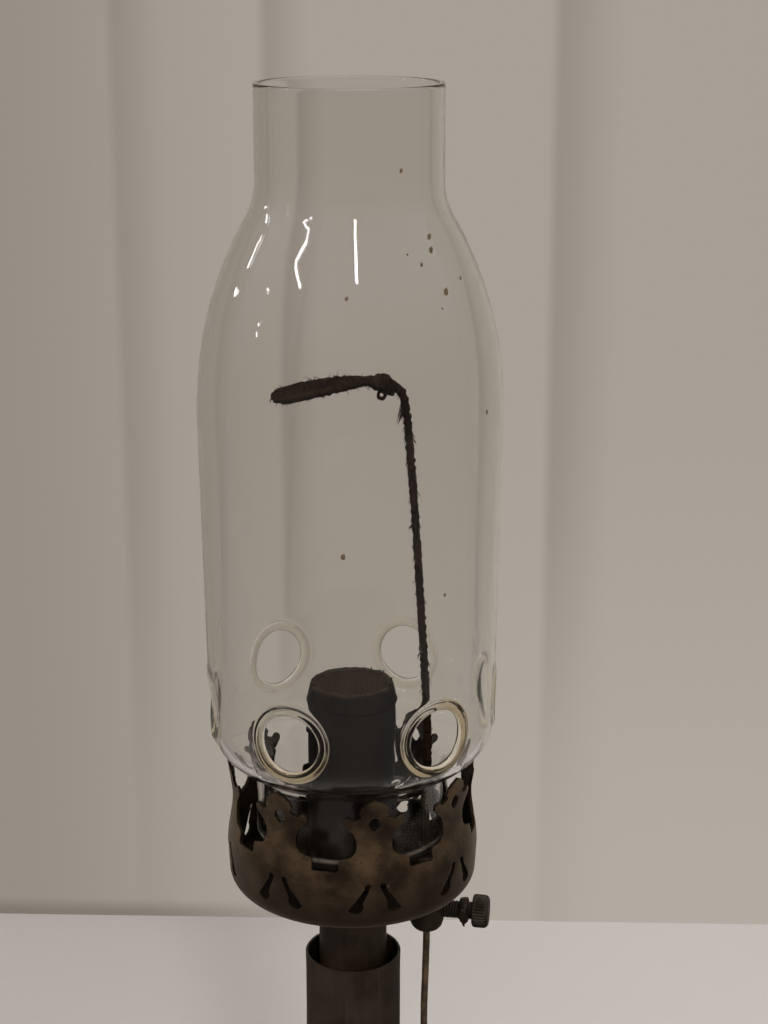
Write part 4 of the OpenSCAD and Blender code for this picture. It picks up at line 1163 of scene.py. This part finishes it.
def fork_upright():
    straight = FORK_START + 8
    points = [(ROD_R, FORK_START), (ROD_R, straight)]
    for i in range(1, 8):
        t = i / 7
        sway = 0.12 * sin(t * 9) * (1 - t)
        points.append((ROD_R - 6.2 * t ** 1.4 + sway, straight + (ARM_Z - 9 - FORK_START - 8) * t))
    bend = ((14.8, 5.3), (14.3, 3.3), (13.5, 1.8), (12.4, 0.9), (11.2, 0.4))
    points += [(x, ARM_Z - drop) for x, drop in bend]
    points += [(x, arm_height(x) + (0.3 if 8 < x < 10 else 0.0)) for x in (10.0, 9.0, 7.6, 6.0, 4.4, 2.9)]
    return smooth_path([fork_place(x, 0, z) for x, z in points], 0.3)


def loop_strand(side):
    points = []
    for i in range(9):
        x = STRAND_X + (TIP_X + LOOP_HALF - STRAND_X) * i / 8
        spread = LOOP_HALF * (1 - exp((x - STRAND_X) / 8)) / 0.92
        points.append((x, side * min(LOOP_HALF, 0.35 + spread)))
    return points


def fork_loop():
    back = [(TIP_X + LOOP_HALF + LOOP_HALF * cos(radians(a)), LOOP_HALF * sin(radians(a)))
            for a in (115, 140, 165, 195, 220, 245)]
    flat = loop_strand(1) + back + loop_strand(-1)[::-1]
    return smooth_path([fork_place(x, y * cos(LOOP_ROLL), arm_height(x) + y * sin(LOOP_ROLL))
                        for x, y in flat], 0.3)


def wound(base, ridge=0.1, pitch=1.5, fuzz=0.13, swell=None):
    """The size of a wire that is wound with cord: slanting turns, lumps and lint."""
    def radius(i, angle, p):
        turns = cos(angle + TURN * i * 0.3 / pitch)
        lumps = fuzz * noise.noise(p * 1.3) + fuzz * 0.8 * noise.noise(p * 3.7)
        more = swell(p) if swell else 0.0
        return base + more + ridge * turns * abs(turns) + lumps * (1 + more * 0.8)
    return radius


def fibre(bm, rng, start, aim, long, curl, thick):
    """One loose fibre that starts in the cord and curls away."""
    points = [start]
    way = aim.normalized()
    for k in range(4):
        turn = Vector((rng.uniform(-1, 1), rng.uniform(-1, 1), rng.uniform(-1, 0.6))) * curl
        way = (way + turn).normalized()
        points.append(points[-1] + way * long / 4)
    path = smooth_path(points, long / 7)
    n = len(path)
    tube(bm, path, lambda i, a, p: thick * (1.15 - 0.8 * i / n), sides=4)


def make_fork():
    rng = random.Random(23)
    bm = bmesh.new()
    knot_at = fork_place(8.4, 0, arm_height(8.4))

    def knot(p):
        return 1.2 * exp(-((p - knot_at).length / 3.1) ** 2)

    def slim(p):
        return -0.22 * exp(-((p.x - TIP_X * cos(ROD_TURN)) / 3) ** 2)

    tube(bm, fork_upright(), wound(1.1, pitch=2.1, fuzz=0.26, swell=knot), sides=18)
    loop = fork_loop()
    tube(bm, loop, wound(1.05, ridge=0.06, fuzz=0.26, swell=slim), sides=16)
    ring_at = fork_place(8.45, 0, ARM_Z - 2.55)
    ring = [ring_at + fork_place(0.95 * cos(a), 0, 1.0 * sin(a))
            for a in [TURN * k / 24 for k in range(-7, 18)]]
    tube(bm, ring, wound(0.5, ridge=0.03, fuzz=0.12))
    lumps = [[(-2.4, 0.8, -0.6), (-1.0, 1.2, 0.6), (0.8, 0.5, 0.9), (2.2, -0.7, 0.1), (1.8, -1.2, -1.6)],
             [(1.5, 0.2, -0.4), (2.3, 0.1, -1.4), (2.4, 0.0, -2.4), (2.3, 0.1, -3.1)],
             [(-0.8, 0.5, -1.0), (0.5, 0.4, -1.6), (1.3, 0.2, -2.4)],
             [(-1.6, -0.9, 0.3), (0.2, -1.3, 0.5), (1.6, -1.0, -0.6)]]
    for size, places in zip((0.95, 1.15, 1.2, 0.8), lumps):
        path = smooth_path([knot_at + fork_place(x, y, z) for x, y, z in places], 0.3)
        tube(bm, path, wound(size, ridge=0.04, fuzz=0.3), sides=12)
    for k in range(170):
        i = rng.randrange(3, len(loop) // 2 - 5)
        far = len(loop) - 1 - i + rng.randint(-7, 7)
        a, b = loop[i], loop[max(3, min(len(loop) - 4, far))]
        sag = Vector((0, 0, rng.uniform(-0.9, 0.2)))
        path = smooth_path([a, a.lerp(b, 0.35) + sag * 0.8, a.lerp(b, 0.65) + sag, b], 0.45)
        thick = rng.uniform(0.25, 0.65)
        tube(bm, path, lambda j, angle, p: thick * (1 + 0.5 * noise.noise(p * 1.7)), sides=6)
    fit(bm, "wound_fork", CORD, node="mantle_fork", slot="sooty_cord", body="fork", crease=70, merge=0.001)


def make_fibres():
    """Loose fibres along the cord, longest under the bend and on top of the loop."""
    rng = random.Random(31)
    bm = bmesh.new()
    upright, loop = fork_upright(), fork_loop()
    for k in range(190):
        p = rng.choice(upright[20:])
        side = Vector((rng.uniform(-1, 1), rng.uniform(-1, 1), 0)).normalized()
        thick = rng.uniform(0.09, 0.19)
        fibre(bm, rng, p + side * 0.8, side * 0.55 + DOWN, rng.uniform(1.0, 2.4), 0.2, thick)
    for k in range(14):
        p = fork_place(14.3, rng.uniform(-0.4, 0.4), ARM_Z - 3.2 - rng.uniform(0, 4))
        inward = fork_place(-1, rng.uniform(-0.4, 0.4), 0)
        fibre(bm, rng, p, inward * 0.35 + DOWN, rng.uniform(2.2, 5.0), 0.16, 0.15)
    for k in range(130):
        p = rng.choice(loop)
        side = Vector((rng.uniform(-1, 1), rng.uniform(-1, 1), rng.uniform(-1, 1))).normalized()
        fibre(bm, rng, p + side * 0.9, side, rng.uniform(0.6, 1.5), 0.5, 0.1)
    for k in range(26):
        p = fork_place(rng.uniform(-11, -2), rng.uniform(0, 3.4), 0)
        p.z = arm_height(-8) + 1.2
        fibre(bm, rng, p, fork_place(rng.uniform(-1, 1), 0.2, 0.2), rng.uniform(1.5, 3.2), 0.4, 0.09)
    fit(bm, "loose_fibres", FIBRES, node=None, slot="sooty_cord", body="fork", crease=80, merge=0.0005)


# The column, the cock and the foot

def make_foot():
    z0 = ends("foot")[0]
    sweep, rise = 41, 23.5
    outer = [(57.0, z0), (61.0, z0)] + arc(61.0, z0 + 4, 4.0, -80, 90, 8)
    outer += raised(z0, (58.6, 8.2), (58.0, 9.0), (58.0, 10.4), (57.4, 11))
    outer += [(57 - sweep * sin(a), z0 + 11 + rise * (1 - cos(a)))
              for a in [radians(90 * i / 12) for i in range(1, 13)]]
    outer += raised(FOOT_Z, (16.0, -0.8), (15.4, 0), (6.0, 0), (6.0, -7), (12.0, -7))
    inner = [(53 - sweep * sin(a), z0 + 7 + rise * (1 - cos(a)))
             for a in [radians(90 * i / 9) for i in range(1, 9)]]
    bm = turned(outer + inner[::-1] + [(57.0, z0 + 7.0)], 144, 0.5)
    for v in bm.verts:
        if v.co.xy.length > 14:
            v.co += v.co.xy.normalized().to_3d() * 0.14 * noise.noise(v.co / 9)
    fit(bm, "cast_foot", IRON, node="foot", slot="cast_foot")


def make_column():
    z0, h, swelling = FOOT_Z, 66.0, 0.62
    z1 = z0 + h
    waist = z0 + h * swelling
    outline = raised(z0, (0.0, -15.5), (6.0, -15.5), (6.0, 0.02), (13.2, 0.02))
    outline += arc(12.5, z0 + 2, 2.0, -60, 90, 7)
    for t in [i / 24 for i in range(25)]:
        r = 7.5 + 5 * sin(pi * t ** 0.75) ** 2 + (1 - t) * 1.5
        outline.append((r, z0 + 4.5 + t * h * swelling))
    outline += raised(waist, (8.3, 5.0), (8.3, 6.2), (7.5, 6.8)) + [(7.45, z1 - 8)]
    outline += arc(7.5, z1 - 6.4, 1.6, -90, 90, 8)
    outline += raised(z1, (7.5, -4.8), (9.4, -2), (9.5, -0.02), (0.0, -0.02))
    bm = turned(outline, 96, 0.25, closed=False)
    boss = [(0.0, 6.0), (8.6, 6.5), (7.6, 9.5), (7.5, 15.3), (7.1, 15.98), (4.55, 15.98), (4.55, 10.0),
            (0.0, 10.0)]
    merge_in(bm, turned(boss, 72, 0.25, closed=False, place=face_y(0, z0 + 13)))
    fit(bm, "turned_column", COLUMN_BRASS, node="column", slot="old_brass")


def make_nozzle():
    outline = [(2.5, -7.5), (4.5, -7.5), (4.5, 0.0), (7.5, 0.0), (7.5, 2.4), (6.9, 3.0), (5.0, 3.0),
               (5.0, 15.0)]
    for z in (15.0, 18.0, 21.0, 24.0):
        outline += [(5.0, z + 0.1), (4.2, z + 0.35), (4.2, z + 0.9), (5.0, z + 1.6), (5.0, z + 2.9)]
    outline += [(4.9, 27.0), (3.8, 28.55), (2.6, 28.6), (2.5, 28.4)]
    bm = turned(outline, 72, 0.16, place=face_y(17.5, FOOT_Z + 13))
    fit(bm, "ribbed_nozzle", COLUMN_BRASS, node="hose_nozzle", slot="old_brass")


def make_cock():
    body = raised(COCK_Z - 14, (0.0, 0.02), (9.5, 0.02), (9.5, 3), (8.0, 4.5), (8.0, 23.5), (9.5, 25),
                  (9.5, 28), (6.0, 28), (6.0, 33.9), (0.0, 33.9))
    bm = turned(body, 80, 0.5, closed=False)
    barrel = [(6.26, -13.5), (10.0, -13.5), (10.0, -10.4), (9.6, -10.0), (9.6, 10.0), (10.0, 10.4),
              (10.0, 13.5), (4.87, 13.5), (5.5, 0.0)]
    merge_in(bm, turned(barrel, 80, 0.35, place=face_x(0, 0, COCK_Z)))
    fit(bm, "cock_shell", COLUMN_BRASS, node="cock_body", slot="old_brass")


def make_lever():
    """The hub, notched for the stop pin, and a tapered arm with a ball."""
    notch = degrees(asin(1.5 / 7.6))
    hub = arc(0, 0, 9.0, 90 + notch, 360 - notch, 56) + arc(0, 0, 6.1, -notch, 90 + notch, 20)
    bm = bmesh.new()
    face = bm.faces.new([bm.verts.new((0, y, z)) for y, z in hub])
    made = bmesh.ops.extrude_face_region(bm, geom=[face])["geom"]
    bmesh.ops.translate(bm, vec=(5.0, 0, 0), verts=only(made, bmesh.types.BMVert))
    rims = [e for e in bm.edges if abs(e.verts[0].co.x - e.verts[1].co.x) < 0.01]
    bmesh.ops.bevel(bm, geom=rims, offset=0.5, segments=2, profile=0.5, affect="EDGES", material=-1)
    arm = [(0.0, 5.0), (2.3, 5.2), (2.2, 9.0), (1.75, 20.0), (1.7, 27.6), (2.3, 28.0), (2.3, 28.9)]
    arm += arc(0.0, 32.0, 4.0, -48, 88, 12) + [(0.0, 36.0)]
    place = Matrix.Translation((2.3, 0, 0)) @ Matrix.Rotation(pi / 2, 4, "X")
    merge_in(bm, turned(arm, 48, 0.15, closed=False, place=place))
    bmesh.ops.translate(bm, vec=(span("cock_lever")[0][0], 0, COCK_Z), verts=bm.verts)
    fit(bm, "cock_handle", COLUMN_BRASS, node="cock_lever", slot="old_brass", body="tap")


def make_injector_base():
    outline = raised(COCK_Z + 14, (6.02, 0.02), (10.2, 0.02), (11.2, 0.6), (11.5, 1.4), (11.5, 7),
                     (12.4, 8), (14.4, 8.6), (15.7, 9.4), (16.0, 10), (16.0, 11.6), (15.6, 12),
                     (12.53, 12), (12.53, 16.6), (12.2, 17), (6.35, 17), (6.35, 12), (3.05, 12),
                     (3.05, 6), (6.02, 6))
    bm = turned(outline, 96, 0.25)
    fit(bm, "injector_seat", COLUMN_BRASS, node="injector_base", slot="old_brass")


def finish_nodes():
    """Finishes for the small pieces that keep their own shapes."""
    finishes = (
        (felt(), ["foot_pad"]),
        (pressed_fibre(), ["nozzle_washer"]),
        (COLUMN_BRASS, ["foot_washer", "foot_nut", "cock_plug", "injector"]),
        (SHEET, ["stop_pin", "cock_washer", "cock_screw", "boss_nut"]),
        (GALLERY_BRASS, ["gallery_nut"]),
        (GAUZE, ["inner_gauze"]),
    )
    for finish, names in finishes:
        for name in names:
            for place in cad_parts[name].material_slots:
                place.material = finish


set_camera()
set_light()
backdrop("table", table_paint(), Matrix.Identity(4))
backdrop("wall", wall_paint(), Matrix.Translation((0, 0.424, 1.999))
         @ Matrix.Rotation(radians(-2.7), 4, "Z") @ Matrix.Rotation(pi / 2, 4, "X"))

make_chimney()
make_specks()
make_gallery()
make_burner_head()
make_gauze_cap()
make_gauze()
make_cap_fray()
make_tube()
make_sleeve()
make_shutter()
make_boss()
make_screw()
make_lock_nut()
make_rod()
make_ferrule()
make_fork()
make_fibres()
make_foot()
make_column()
make_nozzle()
make_cock()
make_lever()
make_injector_base()
finish_nodes()

bpy.context.scene.view_settings.view_transform = "Standard"
